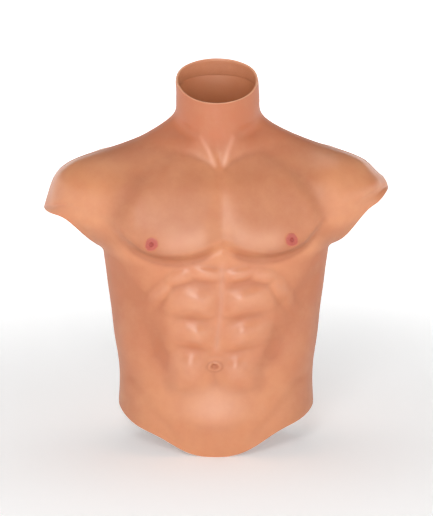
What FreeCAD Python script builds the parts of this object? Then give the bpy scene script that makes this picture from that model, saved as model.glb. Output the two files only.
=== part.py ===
import FreeCAD, Part
import math
import os

from FreeCAD import Vector

# A hollow muscle torso: a soft silicone skin worn over a body or a display form.
# A front skin and a back skin are bonded edge to edge along the sides and the shoulders.
# Filling pads lie behind the chest and the belly muscles, and a thin lining closes them in.
# Frame: millimetres, +Z up, the front faces -Y, +X is the wearer's left.
# The origin is the middle of the shoulder rest, where the wearer or form carries the torso.

doc = FreeCAD.newDocument("muscle_torso")
sheet = doc.addObject("Spreadsheet::Sheet", "sizes")

# Each station is one line round the torso: where it crosses the front's middle, the side
# seam or shoulder seam, and the back's middle, and how far each end pulls the line straight.
FIELDS = [
    "half_width", "side_depth", "side_height",
    "front_depth", "front_height", "back_depth", "back_height",
    "middle_pull", "front_pull", "back_pull", "inward_pull", "upward_pull", "seam_rise", "fill",
]
STATIONS = {
    "hem": (154, 6, -386, -92, -451, 84, -418, 92, 62, 52, 0, 0, 0, 0),
    "waist": (153, 4, -318, -96, -322, 74, -318, 96, 64, 50, 0, 0, 0, 9),
    "ribs": (168, 2, -225, -106, -225, 92, -222, 106, 70, 62, 0, 0, 0, 10),
    "armpit": (180, 2, -136, -114, -142, 110, -132, 120, 66, 62, 0, -30, 0, 13),
    "armhole": (0, 0, 0, -112, -102, 114, -92, 132, 20, 20, 36, 14, 0, 17),
    "tip": (274, 4, -54, -103, -62, 113, -52, 140, 88, 90, 14, 14, 0, 15),
    "deltoid": (249, 6, -3, -94, -32, 110, -16, 120, 80, 84, 0, 0, 0, 9),
    "shoulder": (180, 8, 29, -82, -11, 102, 14, 92, 63, 67, 0, 0, 0, 0),
    "neckbase": (86, 12, 68, -65, 16, 82, 62, 46, 46, 46, 0, 0, 0.1, 0),
    "neck": (67, 12, 101, -61, 58, 69, 112, 38, 42, 36, 0, 0, 0.3, 0),
    "rim": (65, 12, 134, -60, 101, 66, 160, 37, 40, 32, 0, 0, 0.47, 0),
}
ARMPIT, ARMHOLE, TIP = (list(STATIONS).index(n) for n in ("armpit", "armhole", "tip"))
LAST = len(STATIONS) - 1

# Each belly pad is one muscle's filling, seen from the front: centre, width and height.
BELLY_PADS = {
    "rib": (31, -160, 52, 24),
    "upper": (43, -202, 74, 46),
    "middle": (41, -257, 70, 50),
    "lower": (37, -314, 62, 50),
}
OTHER_SIZES = {
    "skin_wall": 3.5,
    "seam_gap": 0.3,
    "layer_gap": 0.3,
    "armhole_bulge": 62,
    "armhole_glue": 1.1,
    "lining_wall": 1.0,
    "lining_width_share": 0.84,
    "tape_wall": 1.0,
    "tape_width": 14,
    "strip_wall": 1.2,
    "strip_width": 18,
    "pad_edge_share": 0.3,
    "chest_pad_offset": 80,
    "chest_pad_height": -78,
    "chest_pad_width": 138,
    "chest_pad_tall": 112,
    "groin_pad_height": -374,
    "groin_pad_width": 96,
    "groin_pad_tall": 58,
    "nipple_offset": 108,
    "nipple_height": -107,
    "areola_radius": 9.5,
    "inlay_clearance": 0.1,
    "inlay_depth": 1.8,
    "nipple_radius": 3.2,
    "nipple_proud": 3.0,
}


def fill_sheet():
    """Writes every driving dimension into its own named cell."""
    row = 1
    named = dict(OTHER_SIZES)
    for station, values in STATIONS.items():
        named.update({f"{station}_{field}": v for field, v in zip(FIELDS, values)})
    for pad, values in BELLY_PADS.items():
        keys = ("offset", "height", "width", "tall")
        named.update({f"{pad}_pad_{key}": v for key, v in zip(keys, values)})
    for name, value in named.items():
        sheet.set(f"A{row}", name)
        sheet.set(f"B{row}", str(value))
        sheet.setAlias(f"B{row}", name)
        row += 1
    doc.recompute()


def size(name):
    return float(getattr(sheet, name))


def spline(values, flat_start=False, flat_end=False):
    """A smooth curve through values at 0, 1, 2 and so on; a flat end has no slope there."""
    n = len(values)
    last = n - 1
    diagonal, right = [4.0] * n, [0.0] * n
    upper, lower = [1.0] * n, [1.0] * n
    for i in range(1, last):
        right[i] = 3 * (values[i + 1] - values[i - 1])
    diagonal[0], upper[0], right[0] = (1, 0, 0) if flat_start else (2, 1, 3 * (values[1] - values[0]))
    diagonal[last], lower[last], right[last] = (
        (1, 0, 0) if flat_end else (2, 1, 3 * (values[last] - values[last - 1]))
    )
    for i in range(1, n):
        share = lower[i] / diagonal[i - 1]
        diagonal[i] -= share * upper[i - 1]
        right[i] -= share * right[i - 1]
    slopes = [0.0] * n
    slopes[last] = right[last] / diagonal[last]
    for i in range(last - 1, -1, -1):
        slopes[i] = (right[i] - upper[i] * slopes[i + 1]) / diagonal[i]

    def at(x):
        i = min(max(int(math.floor(x)), 0), last - 1)
        f = x - i
        a, b, ma, mb = values[i], values[i + 1], slopes[i], slopes[i + 1]
        return (
            a * (1 + 2 * f) * (1 - f) ** 2
            + ma * f * (1 - f) ** 2
            + b * f * f * (3 - 2 * f)
            - mb * f * f * (1 - f)
        )

    return at


def ease(x):
    """Goes from 0 to 1 with no slope at either end."""
    x = min(max(x, 0.0), 1.0)
    return x * x * (3 - 2 * x)


def column(field, first=0, last=LAST):
    return [size(f"{station}_{field}") for station in list(STATIONS)[first : last + 1]]


class Seam:
    """The line where front and back meet: side, armhole and shoulder, up to the rim."""

    def __init__(self):
        fields = ("half_width", "side_depth", "side_height")
        self.below = [spline(column(f, 0, ARMPIT), flat_end=True) for f in fields]
        self.above = [spline(column(f, TIP), flat_start=True) for f in fields]
        self.rise = spline(column("seam_rise"))
        self.armpit = Vector(*[c(ARMPIT) for c in self.below])
        self.tip = Vector(*[c(0) for c in self.above])
        self.middle = (self.armpit + self.tip) / 2

    def at(self, along, sign):
        """The point at along stations, on the front (sign -1) or the back (sign 1)."""
        if along <= ARMPIT:
            return Vector(*[c(along) for c in self.below])
        if along >= TIP:
            return Vector(*[c(along - TIP) for c in self.above])
        turn = math.pi * ease((along - ARMPIT) / (TIP - ARMPIT))
        bulge = Vector(0, sign * size("armhole_bulge") * math.sin(turn), 0)
        return self.middle + (self.armpit - self.middle) * math.cos(turn) + bulge

    def across(self, along):
        """The way the surface runs over the seam, from front to back."""
        return Vector(0, 1, self.rise(along)).normalize()

    def outward(self, along):
        """The surface's outward direction on a bonded seam."""
        step = 0.02
        low, high = along - step, along + step
        if along <= ARMPIT:
            low, high = max(low, 0), min(high, ARMPIT)
        else:
            low, high = max(low, TIP), min(high, LAST)
        run = self.at(high, 1) - self.at(low, 1)
        return run.cross(self.across(along)).normalize() * -1


class Panel:
    """The outer surface of the front (sign -1) or the back (sign 1).

    across runs from -1 at the wearer's right edge to 1 at the left edge, and along counts
    stations from 0 at the hem to the last at the rim. Each line across is a pair of Bezier
    arcs that meet in the middle."""

    def __init__(self, side, sign):
        self.sign = sign
        self.seam = SEAM
        self.depth = spline(column(f"{side}_depth"))
        self.height = spline(column(f"{side}_height"))
        self.middle_pull = spline(column("middle_pull"))
        self.inward, self.upward = column("inward_pull"), column("upward_pull")
        self.side_pull = spline(column(f"{side}_pull"))
        handles = [self.station_handle(i) for i in range(LAST + 1)]
        self.edge_handle = [spline([h[axis] for h in handles]) for axis in range(3)]
        self.fill_depth = spline(column("fill"))

    def station_handle(self, station):
        """Where the line across one station is pulled to, next to its seam or edge."""
        turn = Vector(-self.inward[station], 0, self.upward[station])
        reach = self.seam.across(station) * (self.sign * self.side_pull(station))
        return self.edge(station) + reach + turn

    def edge(self, along):
        half_gap = self.seam.across(along) * (self.sign * size("seam_gap") / 2)
        return self.seam.at(along, self.sign) + half_gap

    def point(self, across, along):
        t = abs(across)
        middle = Vector(0, self.depth(along), self.height(along))
        middle_handle = middle + Vector(self.middle_pull(along), 0, 0)
        edge_handle = Vector(*[c(along) for c in self.edge_handle])
        found = (
            middle * (1 - t) ** 3
            + middle_handle * (3 * t * (1 - t) ** 2)
            + edge_handle * (3 * t * t * (1 - t))
            + self.edge(along) * t**3
        )
        return Vector(math.copysign(found.x, across) if across else 0, found.y, found.z)

    def outward(self, across, along):
        """The outward unit normal."""
        bonded = along <= ARMPIT or along >= TIP
        if abs(across) > 0.999 and bonded:
            found = self.seam.outward(along)
            return Vector(math.copysign(found.x, across), found.y, found.z)
        step = 0.01
        u = min(max(across, step - 1), 1 - step)
        v = min(max(along, step), LAST - step)
        du = self.point(u + step, v) - self.point(u - step, v)
        dv = self.point(u, v + step) - self.point(u, v - step)
        return (du.cross(dv) * -self.sign).normalize()

    def inset(self, across, along, depth):
        """The point at a depth under the outer surface."""
        return self.point(across, along) - self.outward(across, along) * depth

    def find(self, x, z):
        """Where the panel's point has this x and z, as across and along."""
        u, v = x / 200.0, ARMPIT - 1.0
        step = 0.001
        for _ in range(25):
            here = self.point(u, v)
            right = (self.point(u + step, v) - here) / step
            up = (self.point(u, v + step) - here) / step
            det = right.x * up.z - right.z * up.x
            dx, dz = x - here.x, z - here.z
            u += min(max((dx * up.z - dz * up.x) / det, -0.2), 0.2)
            v += min(max((right.x * dz - right.z * dx) / det, -0.5), 0.5)
            u, v = min(max(u, -0.99), 0.99), min(max(v, 0.01), LAST - 0.01)
        return u, v

    def fill(self, across, along):
        """How deep the filling is: full in the middle, and nothing at the lining's border."""
        share = min(abs(across) / size("lining_width_share"), 1.0)
        low, high = LINING_ALONG
        ends = ease((along - low) / FILL_FADE_LOW) * ease((high - along) / FILL_FADE_HIGH)
        return max(self.fill_depth(along), 0.0) * (1 - share**6) * ends


def steps(low, high, count):
    return [low + (high - low) * i / count for i in range(count + 1)]


def smooth_line(points):
    """A curve through evenly counted points."""
    curve = Part.BSplineCurve()
    curve.interpolate(Points=points, Parameters=[float(i) for i in range(len(points))])
    return curve


def smooth_face(rows):
    """A surface through rows of points, counted evenly both ways."""
    lines = [smooth_line(row) for row in rows]
    columns = [smooth_line(list(poles)) for poles in zip(*(line.getPoles() for line in lines))]
    down, over = columns[0], lines[0]
    surface = Part.BSplineSurface()
    surface.buildFromPolesMultsKnots(
        [list(poles) for poles in zip(*(column.getPoles() for column in columns))],
        down.getMultiplicities(),
        over.getMultiplicities(),
        down.getKnots(),
        over.getKnots(),
        False,
        False,
        down.Degree,
        over.Degree,
    )
    return surface


def solid_from(faces):
    """The solid closed in by faces that share their borders."""
    shell = Part.makeShell(faces)
    shell.sewShape()
    solid = Part.makeSolid(Part.Shell(shell.Faces))
    if solid.Volume < 0:
        solid.reverse()
    return solid


def sheet_solid(outer_rows, inner_rows, breaks=()):
    """A closed solid between two sheets of points of the same pattern, made in small faces.

    A break is a row where the sheets are fitted afresh, since their border turns there."""
    down, over = len(outer_rows) - 1, len(outer_rows[0]) - 1
    stops = [0, *breaks, down]
    faces = []
    for first, last in zip(stops, stops[1:]):
        sheets = [smooth_face(rows[first : last + 1]) for rows in (outer_rows, inner_rows)]
        for u0 in range(0, last - first, FACE_SPAN):
            for v0 in range(0, over, FACE_SPAN):
                u1, v1 = min(u0 + FACE_SPAN, last - first), min(v0 + FACE_SPAN, over)
                patches = [surface.copy() for surface in sheets]
                for patch in patches:
                    patch.segment(u0, u1, v0, v1)
                    faces.append(patch.toShape())
                ends = {u0, u1} & {-first, down - first}
                sides = {v0, v1} & {0, over}
                rims = [[patch.uIso(u) for patch in patches] for u in ends]
                rims += [[patch.vIso(v) for patch in patches] for v in sides]
                for top, bottom in rims:
                    faces.append(Part.makeRuledSurface(top.toShape(), bottom.toShape()))
    return solid_from(faces)


def panel_solid(panel, acrosses, alongs, top, bottom):
    """Part of a panel's skin between two depths, each a function of across and along."""
    outer = [[panel.inset(u, v, top(u, v)) for u in acrosses] for v in alongs]
    inner = [[panel.inset(u, v, bottom(u, v)) for u in acrosses] for v in alongs]
    breaks = [i for i, along in enumerate(alongs) if along in (ARMPIT, TIP)]
    return sheet_solid(outer, inner, breaks)


def add(name, shape):
    found = doc.addObject("Part::Feature", name)
    found.Label = name
    found.Shape = shape
    return found


def panel_shell(panel):
    """One bonded half of the skin, from the hem to the neck rim."""
    return panel_solid(
        panel,
        steps(-1, 1, STEPS_ACROSS),
        steps(0, LAST, STEPS_PER_STATION * LAST),
        lambda across, along: 0,
        lambda across, along: size("skin_wall"),
    )


def add_lining():
    """The thin inner sheet that closes the pads in, bonded to the skin all round."""

    def top(across, along):
        return UNDER_SKIN + FRONT.fill(across, along) + size("layer_gap")

    width = size("lining_width_share")
    solid = panel_solid(
        FRONT,
        steps(-width, width, STEPS_ACROSS),
        steps(*LINING_ALONG, LINING_STEPS),
        top,
        lambda across, along: top(across, along) + size("lining_wall"),
    )
    return add("front_lining", solid)


def add_pad(name, offset, height, width, tall):
    """A filling pad: a bulging rounded block in the front view, thinner towards its edge."""
    grid = steps(-1, 1, PAD_STEPS)
    outer, inner = [], []
    for b in grid:
        outer_row, inner_row = [], []
        for a in grid:
            x = offset + width / 2 * a * math.sqrt(1 - PAD_ROUNDING * b * b)
            z = height + tall / 2 * b * math.sqrt(1 - PAD_ROUNDING * a * a)
            across, along = FRONT.find(x, z)
            crown = (1 - a**4) * (1 - b**4)
            share = size("pad_edge_share") + (1 - size("pad_edge_share")) * crown
            outer_row.append(FRONT.inset(across, along, UNDER_SKIN))
            depth = UNDER_SKIN + FRONT.fill(across, along) * share
            inner_row.append(FRONT.inset(across, along, depth))
        outer.append(outer_row)
        inner.append(inner_row)
    return add(name, sheet_solid(outer, inner))


def kept_apart(offset, width):
    """A pad's width, held short of its twin on the other side of the middle."""
    return min(width, 2 * (offset - size("layer_gap")))


def add_pads():
    for side, sign in SIDES:
        add_pad(
            f"{side}_chest_pad",
            sign * size("chest_pad_offset"),
            size("chest_pad_height"),
            kept_apart(size("chest_pad_offset"), size("chest_pad_width")),
            size("chest_pad_tall"),
        )
        for pad in BELLY_PADS:
            offset, height, width, tall = (
                size(f"{pad}_pad_{key}") for key in ("offset", "height", "width", "tall")
            )
            width = kept_apart(offset, width)
            add_pad(f"{side}_{pad}_belly_pad", sign * offset, height, width, tall)
    add_pad("groin_pad", 0, *(size(f"groin_pad_{key}") for key in ("height", "width", "tall")))


def add_strip(name, sign, low, high):
    """A bonding strip inside a seam, half on the front skin and half on the back."""
    top, bottom = UNDER_SKIN, UNDER_SKIN + size("strip_wall")
    outer, inner = [], []
    for along in steps(low, high, STRIP_STEPS):
        outer_row, inner_row = [], []
        for panel, shares in ((FRONT, (1, 0.5, 0)), (BACK, (0.5, 1))):
            half_share = size("strip_width") / 2 / (3 * panel.side_pull(along))
            for share in shares:
                across = sign * (1 - half_share * share)
                outer_row.append(panel.inset(across, along, top))
                inner_row.append(panel.inset(across, along, bottom))
        outer.append(outer_row)
        inner.append(inner_row)
    return add(name, sheet_solid(outer, inner))


def ring_solid(sections):
    """A closed ring whose long edges run smoothly through the corners of its sections."""
    edges = []
    for corner in range(len(sections[0])):
        curve = Part.BSplineCurve()
        curve.interpolate(
            Points=[section[corner] for section in sections],
            PeriodicFlag=True,
            Parameters=[float(i) for i in range(len(sections) + 1)],
        )
        edges.append(curve.toShape())
    sides = [Part.makeRuledSurface(edges[i - 1], edges[i]) for i in range(len(edges))]
    return solid_from(sides)


def tape_section(panel, edge_spot, inner_spot, glue):
    """The tape's corners, from its line by the edge to its line further in and back."""
    middle_spot = [(a + b) / 2 for a, b in zip(edge_spot, inner_spot)]
    spots = (edge_spot, middle_spot, inner_spot)
    top = size("skin_wall") + glue
    bottom = top + size("tape_wall")
    outer = [panel.inset(*spot, top) for spot in spots]
    return outer + [panel.inset(*spot, bottom) for spot in reversed(spots)]


def add_round_tape(name, edge, inner):
    """A tape round the whole torso at the hem or the neck, between two along values."""
    sections = []
    for panel, acrosses in ((FRONT, steps(-1, 1, STEPS_ACROSS)), (BACK, steps(1, -1, STEPS_ACROSS)[1:-1])):
        for across in acrosses:
            spots = ((across, edge), (across, inner))
            sections.append(tape_section(panel, *spots, size("layer_gap")))
    return add(name, ring_solid(sections))


def add_armhole_tape(name, sign):
    """A tape just inside the edge of an armhole, over the side and shoulder seams."""
    middle, half = (ARMPIT + TIP) / 2, (TIP - ARMPIT) / 2
    share = size("tape_width") / ARMHOLE_SPEED
    sections = []
    for panel, turns in ((FRONT, steps(0, 1, ARMHOLE_STEPS)), (BACK, steps(1, 0, ARMHOLE_STEPS)[1:-1])):
        for turn in turns:
            angle = math.pi * ease(turn)
            edge_spot = (sign, ARMPIT + 2 * half * turn)
            inner_spot = (
                sign * (1 - share * math.sin(angle)),
                middle - (half + TAPE_OVER_SEAM) * math.cos(angle),
            )
            sections.append(tape_section(panel, edge_spot, inner_spot, size("armhole_glue")))
    return add(name, ring_solid(sections))


def cell(name):
    return f"sizes.{name}"


def place_on_front(x, z):
    """A placement on the front skin with its Z axis pointing straight out of it."""
    across, along = FRONT.find(x, z)
    turn = FreeCAD.Rotation(Vector(0, 0, 1), FRONT.outward(across, along))
    return FreeCAD.Placement(FRONT.point(across, along), turn)


def add_nipple_inlay(side, place):
    """A disc of pigmented silicone in a shallow pocket, with the nipple proud of it."""
    body = doc.addObject("PartDesign::Body", f"{side}_nipple_inlay")
    body.Label = f"{side}_nipple_inlay"
    areola = body.newObject("PartDesign::AdditiveCylinder", f"{side}_areola")
    areola.setExpression("Radius", f"{cell('areola_radius')} - {cell('inlay_clearance')}")
    areola.setExpression("Height", cell("inlay_depth"))
    areola.setExpression("AttachmentOffset.Base.z", f"-{cell('inlay_depth')}")
    doc.recompute()
    nipple = body.newObject("PartDesign::AdditiveCylinder", f"{side}_nipple")
    nipple.setExpression("Radius", cell("nipple_radius"))
    nipple.setExpression("Height", f"{cell('nipple_proud')} + {cell('inlay_depth')} / 2")
    nipple.setExpression("AttachmentOffset.Base.z", f"-{cell('inlay_depth')} / 2")
    doc.recompute()
    rounded = body.newObject("PartDesign::Fillet", f"{side}_nipple_top")
    top = max(range(len(nipple.Shape.Edges)), key=lambda i: nipple.Shape.Edges[i].CenterOfMass.z)
    rounded.Base = (nipple, [f"Edge{top + 1}"])
    rounded.setExpression("Radius", f"{cell('nipple_radius')} * {NIPPLE_ROUNDING}")
    body.Tip = rounded
    body.Placement = place
    return body


def add_front_skin(places):
    """The front half of the skin, with a blind pocket for each nipple inlay."""
    shell = doc.addObject("Part::Feature", "front_shell")
    shell.Shape = panel_shell(FRONT)
    pockets = []
    for (side, _), place in zip(SIDES, places):
        pocket = doc.addObject("Part::Cylinder", f"{side}_pocket")
        pocket.setExpression("Radius", cell("areola_radius"))
        pocket.setExpression("Height", f"{cell('inlay_depth')} * {POCKET_REACH}")
        bottom = Vector(0, 0, -size("inlay_depth"))
        pocket.Placement = place.multiply(FreeCAD.Placement(bottom, FreeCAD.Rotation()))
        pockets.append(pocket)
    both = doc.addObject("Part::MultiFuse", "pockets")
    both.Shapes = pockets
    skin = doc.addObject("Part::Cut", "front_skin")
    skin.Label = "front_skin"
    skin.Base, skin.Tool = shell, both
    return skin


def build():
    """Makes every sub-part and returns the document's objects that are written out."""
    places = [
        place_on_front(sign * size("nipple_offset"), size("nipple_height")) for _, sign in SIDES
    ]
    parts = [add_front_skin(places), add("back_skin", panel_shell(BACK))]
    for (side, _), place in zip(SIDES, places):
        parts.append(add_nipple_inlay(side, place))
    add_lining()
    add_pads()
    for side, sign in SIDES:
        add_strip(f"{side}_side_strip", sign, *SIDE_STRIP_ALONG)
        add_strip(f"{side}_shoulder_strip", sign, *SHOULDER_STRIP_ALONG)
        add_armhole_tape(f"{side}_armhole_tape", sign)
    add_round_tape("hem_tape", *HEM_TAPE_ALONG)
    add_round_tape("neck_tape", *NECK_TAPE_ALONG)
    inner = {"front_shell", "pockets"}
    solids = [o for o in doc.Objects if o.TypeId == "Part::Feature" and o.Name not in inner]
    return parts + [o for o in solids if o not in parts]


def write(parts):
    """Stops on any object that failed, and writes each sub-part to its own file."""
    doc.recompute()
    for found in doc.Objects:
        if "Invalid" in found.State or "Error" in found.State:
            raise RuntimeError(f"{found.Name} failed: {found.State}")
    os.makedirs("parts", exist_ok=True)
    for part in parts:
        shape = part.Shape
        if shape.isNull() or not shape.isValid() or shape.Volume <= 0:
            raise RuntimeError(f"{part.Label} has no valid shape")
        shape.exportStep(os.path.join("parts", part.Label + ".step"))
        print(part.Label, len(shape.Solids), "solids", round(shape.Volume / 1000, 2), "cm3")


fill_sheet()
SEAM = Seam()
FRONT, BACK = Panel("front", -1), Panel("back", 1)
SIDES = (("left", 1), ("right", -1))
UNDER_SKIN = size("skin_wall") + size("layer_gap")
# A face covers this many steps of the points it runs through.
FACE_SPAN = 2
# How many steps of points run across and along each kind of sheet.
STEPS_ACROSS = 20
STEPS_PER_STATION = 4
LINING_STEPS = 24
PAD_STEPS = 8
STRIP_STEPS = 16
ARMHOLE_STEPS = 30
# The filling grows to its full depth over these lengths, in stations.
FILL_FADE_LOW = 0.6
FILL_FADE_HIGH = 0.8
PAD_ROUNDING = 0.3
# The nipple's rounded top, as a share of its radius.
NIPPLE_ROUNDING = 0.6
# The pocket's cutter is this many times as tall as the inlay, so it clears the skin.
POCKET_REACH = 4
# Where pieces begin and end along the stations.
LINING_ALONG = (0.3, 7.2)
SIDE_STRIP_ALONG = (0.3, 2.55)
SHOULDER_STRIP_ALONG = (5.5, 9.35)
HEM_TAPE_ALONG = (0.03, 0.22)
NECK_TAPE_ALONG = (9.95, 9.5)
TAPE_OVER_SEAM = 0.28
ARMHOLE_SPEED = 170
write(build())
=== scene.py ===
# %% [markdown]
# # A hollow muscle torso in silicone
# The real object is a soft skin that is worn over a body or a display form. A front half and a
# back half are cast in silicone and bonded along the sides and the shoulders. Filling pads lie
# behind the chest and belly muscles, and a thin lining closes them in. This lesson rebuilds
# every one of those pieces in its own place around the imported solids.

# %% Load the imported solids
import math

import bmesh
import bpy
import numpy as np
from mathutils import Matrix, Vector


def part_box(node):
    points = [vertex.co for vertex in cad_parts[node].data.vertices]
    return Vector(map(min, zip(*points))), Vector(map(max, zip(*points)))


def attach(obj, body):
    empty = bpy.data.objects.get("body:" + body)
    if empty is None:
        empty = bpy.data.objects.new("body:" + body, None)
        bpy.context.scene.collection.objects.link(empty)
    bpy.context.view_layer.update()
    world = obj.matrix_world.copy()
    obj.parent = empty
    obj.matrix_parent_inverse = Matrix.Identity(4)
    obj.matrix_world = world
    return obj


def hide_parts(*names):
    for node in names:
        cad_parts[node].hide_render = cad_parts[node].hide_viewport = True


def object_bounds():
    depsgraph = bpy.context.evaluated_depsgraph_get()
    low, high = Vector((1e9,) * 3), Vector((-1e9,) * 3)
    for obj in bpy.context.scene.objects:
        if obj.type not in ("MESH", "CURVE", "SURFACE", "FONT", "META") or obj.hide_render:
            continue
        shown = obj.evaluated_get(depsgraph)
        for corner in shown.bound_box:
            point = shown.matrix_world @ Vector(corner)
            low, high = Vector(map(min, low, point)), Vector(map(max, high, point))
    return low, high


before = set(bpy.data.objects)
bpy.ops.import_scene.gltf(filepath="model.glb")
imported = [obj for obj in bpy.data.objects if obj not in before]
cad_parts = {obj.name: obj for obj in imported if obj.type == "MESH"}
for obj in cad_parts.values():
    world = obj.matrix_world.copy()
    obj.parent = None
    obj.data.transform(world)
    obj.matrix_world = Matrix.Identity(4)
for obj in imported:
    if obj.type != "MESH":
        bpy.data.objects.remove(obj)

cad_low, cad_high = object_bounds()
skin_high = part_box("front_skin")[1]
print("solids span", [round(float(b - a), 3) for a, b in zip(cad_low, cad_high)], "m")

# %% [markdown]
# ## The rule behind the shape
# A torso could be sculpted by hand, but then the pads, the lining and the tapes would not fit
# it. Here the shape follows a rule: lines run round the torso at named heights, each one a
# pair of Bezier arcs from the front's or back's middle to the seam, and smooth curves join
# line to line. Every layer is the same surface, moved inwards by its own depth.

# %% The lines round the torso
FIELDS = [
    "half_width", "side_depth", "side_height",
    "front_depth", "front_height", "back_depth", "back_height",
    "middle_pull", "front_pull", "back_pull", "inward_pull", "upward_pull", "seam_rise", "fill",
]
LINES = {
    "hem": (154, 6, -386, -92, -451, 84, -418, 92, 62, 52, 0, 0, 0, 0),
    "waist": (153, 4, -318, -96, -322, 74, -318, 96, 64, 50, 0, 0, 0, 9),
    "ribs": (168, 2, -225, -106, -225, 92, -222, 106, 70, 62, 0, 0, 0, 10),
    "armpit": (180, 2, -136, -114, -142, 110, -132, 120, 66, 62, 0, -30, 0, 13),
    "armhole": (0, 0, 0, -112, -102, 114, -92, 132, 20, 20, 36, 14, 0, 17),
    "tip": (274, 4, -54, -103, -62, 113, -52, 140, 88, 90, 14, 14, 0, 15),
    "deltoid": (249, 6, -3, -94, -32, 110, -16, 120, 80, 84, 0, 0, 0, 9),
    "shoulder": (180, 8, 29, -82, -11, 102, 14, 92, 63, 67, 0, 0, 0, 0),
    "neckbase": (86, 12, 68, -65, 16, 82, 62, 46, 46, 46, 0, 0, 0.1, 0),
    "neck": (67, 12, 101, -61, 58, 69, 112, 38, 42, 36, 0, 0, 0.3, 0),
    "rim": (65, 12, 134, -60, 101, 66, 160, 37, 40, 32, 0, 0, 0.47, 0),
}
ARMPIT, TIP, LAST = 3, 5, 10
ARMHOLE_BULGE = 62
SIDE_SIGN = {"front": -1, "back": 1}
MM = skin_high.x / max(line[0] for line in LINES.values())
print("one design millimetre is", round(MM * 1000, 4), "mm of the packed solids")


# %% Curves that pass smoothly from line to line
def spline(values, flat_start=False, flat_end=False):
    """A smooth curve through values at 0, 1, 2 and so on; a flat end has no slope there."""
    v = np.asarray(values, float)
    n = len(v)
    m = np.diag([4.0] * n) + np.diag([1.0] * (n - 1), 1) + np.diag([1.0] * (n - 1), -1)
    right = np.zeros(n)
    right[1:-1] = 3 * (v[2:] - v[:-2])
    m[0, :2] = (1, 0) if flat_start else (2, 1)
    m[-1, -2:] = (0, 1) if flat_end else (1, 2)
    right[0] = 0 if flat_start else 3 * (v[1] - v[0])
    right[-1] = 0 if flat_end else 3 * (v[-1] - v[-2])
    slopes = np.linalg.solve(m, right)

    def at(x):
        i = np.clip(np.floor(x).astype(int), 0, n - 2)
        f = x - i
        return (
            v[i] * (1 + 2 * f) * (1 - f) ** 2
            + slopes[i] * f * (1 - f) ** 2
            + v[i + 1] * f * f * (3 - 2 * f)
            - slopes[i + 1] * f * f * (1 - f)
        )

    return at


def step(low, high, value):
    """Goes smoothly from 0 at low to 1 at high."""
    t = np.clip((value - low) / (high - low), 0, 1)
    return t * t * (3 - 2 * t)


def column(field, first=0, last=LAST):
    """One field of every line from first to last."""
    place = FIELDS.index(field)
    return [line[place] for line in list(LINES.values())[first : last + 1]]


# %% The seam line, where front and back meet
SEAM_FIELDS = ("half_width", "side_depth", "side_height")
BELOW_ARM = [spline(column(f, 0, ARMPIT), flat_end=True) for f in SEAM_FIELDS]
ABOVE_ARM = [spline(column(f, TIP), flat_start=True) for f in SEAM_FIELDS]
SEAM_RISE = spline(column("seam_rise"))
ARMPIT_POINT = np.array([c(np.array(float(ARMPIT))) for c in BELOW_ARM])
TIP_POINT = np.array([c(np.array(0.0)) for c in ABOVE_ARM])


def seam_line(along, sign):
    """Points on the seam; between armpit and tip, the sleeve's edge on the front or back."""
    along = np.asarray(along, float)
    below = np.stack([c(np.minimum(along, ARMPIT)) for c in BELOW_ARM], -1)
    above = np.stack([c(np.maximum(along - TIP, 0)) for c in ABOVE_ARM], -1)
    turn = math.pi * step(ARMPIT, TIP, along)[..., None]
    centre = (ARMPIT_POINT + TIP_POINT) / 2
    arc = centre + (ARMPIT_POINT - centre) * np.cos(turn)
    arc = arc + np.array([0, sign * ARMHOLE_BULGE, 0]) * np.sin(turn)
    found = np.where((along <= ARMPIT)[..., None], below, arc)
    return np.where((along >= TIP)[..., None], above, found)


def seam_across(along):
    """The way the surface runs over the seam, from front to back."""
    rise = SEAM_RISE(np.asarray(along, float))
    way = np.stack([0 * rise, 1 + 0 * rise, rise], -1)
    return way / np.linalg.norm(way, axis=-1, keepdims=True)


print("arm opening is", round(float(np.linalg.norm(TIP_POINT - ARMPIT_POINT))), "mm tall")


# %% The outer surface of the front and of the back
def edge_handles(side):
    """Curves of the handles that bring the surface round to the seam."""
    sign = SIDE_SIGN[side]
    stations = np.arange(LAST + 1.0)
    pull = np.array(column(f"{side}_pull"))[:, None]
    inward, upward = np.array(column("inward_pull")), np.array(column("upward_pull"))
    turn = np.stack([-inward, 0 * inward, upward], -1)
    points = seam_line(stations, sign) + seam_across(stations) * sign * pull + turn
    return [spline(points[:, axis]) for axis in range(3)]


CURVES = {
    side: {
        "depth": spline(column(f"{side}_depth")),
        "height": spline(column(f"{side}_height")),
        "handles": edge_handles(side),
    }
    for side in SIDE_SIGN
}
MIDDLE_PULL = spline(column("middle_pull"))


def paired(a, b):
    """Two sets of numbers, spread over one shape."""
    return np.broadcast_arrays(np.asarray(a, float), np.asarray(b, float))


def surface(side, across, along):
    """Points in millimetres; across runs from -1 to 1 and along counts the lines."""
    across, along = paired(across, along)
    curves, t = CURVES[side], np.abs(across)[..., None]
    depth, height = curves["depth"](along), curves["height"](along)
    middle = np.stack([0 * depth, depth, height], -1)
    middle_handle = np.stack([MIDDLE_PULL(along), depth, height], -1)
    edge_handle = np.stack([c(along) for c in curves["handles"]], -1)
    found = (
        middle * (1 - t) ** 3
        + middle_handle * (3 * t * (1 - t) ** 2)
        + edge_handle * (3 * t * t * (1 - t))
        + seam_line(along, SIDE_SIGN[side]) * t**3
    )
    found[..., 0] *= np.sign(across)
    return found


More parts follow.
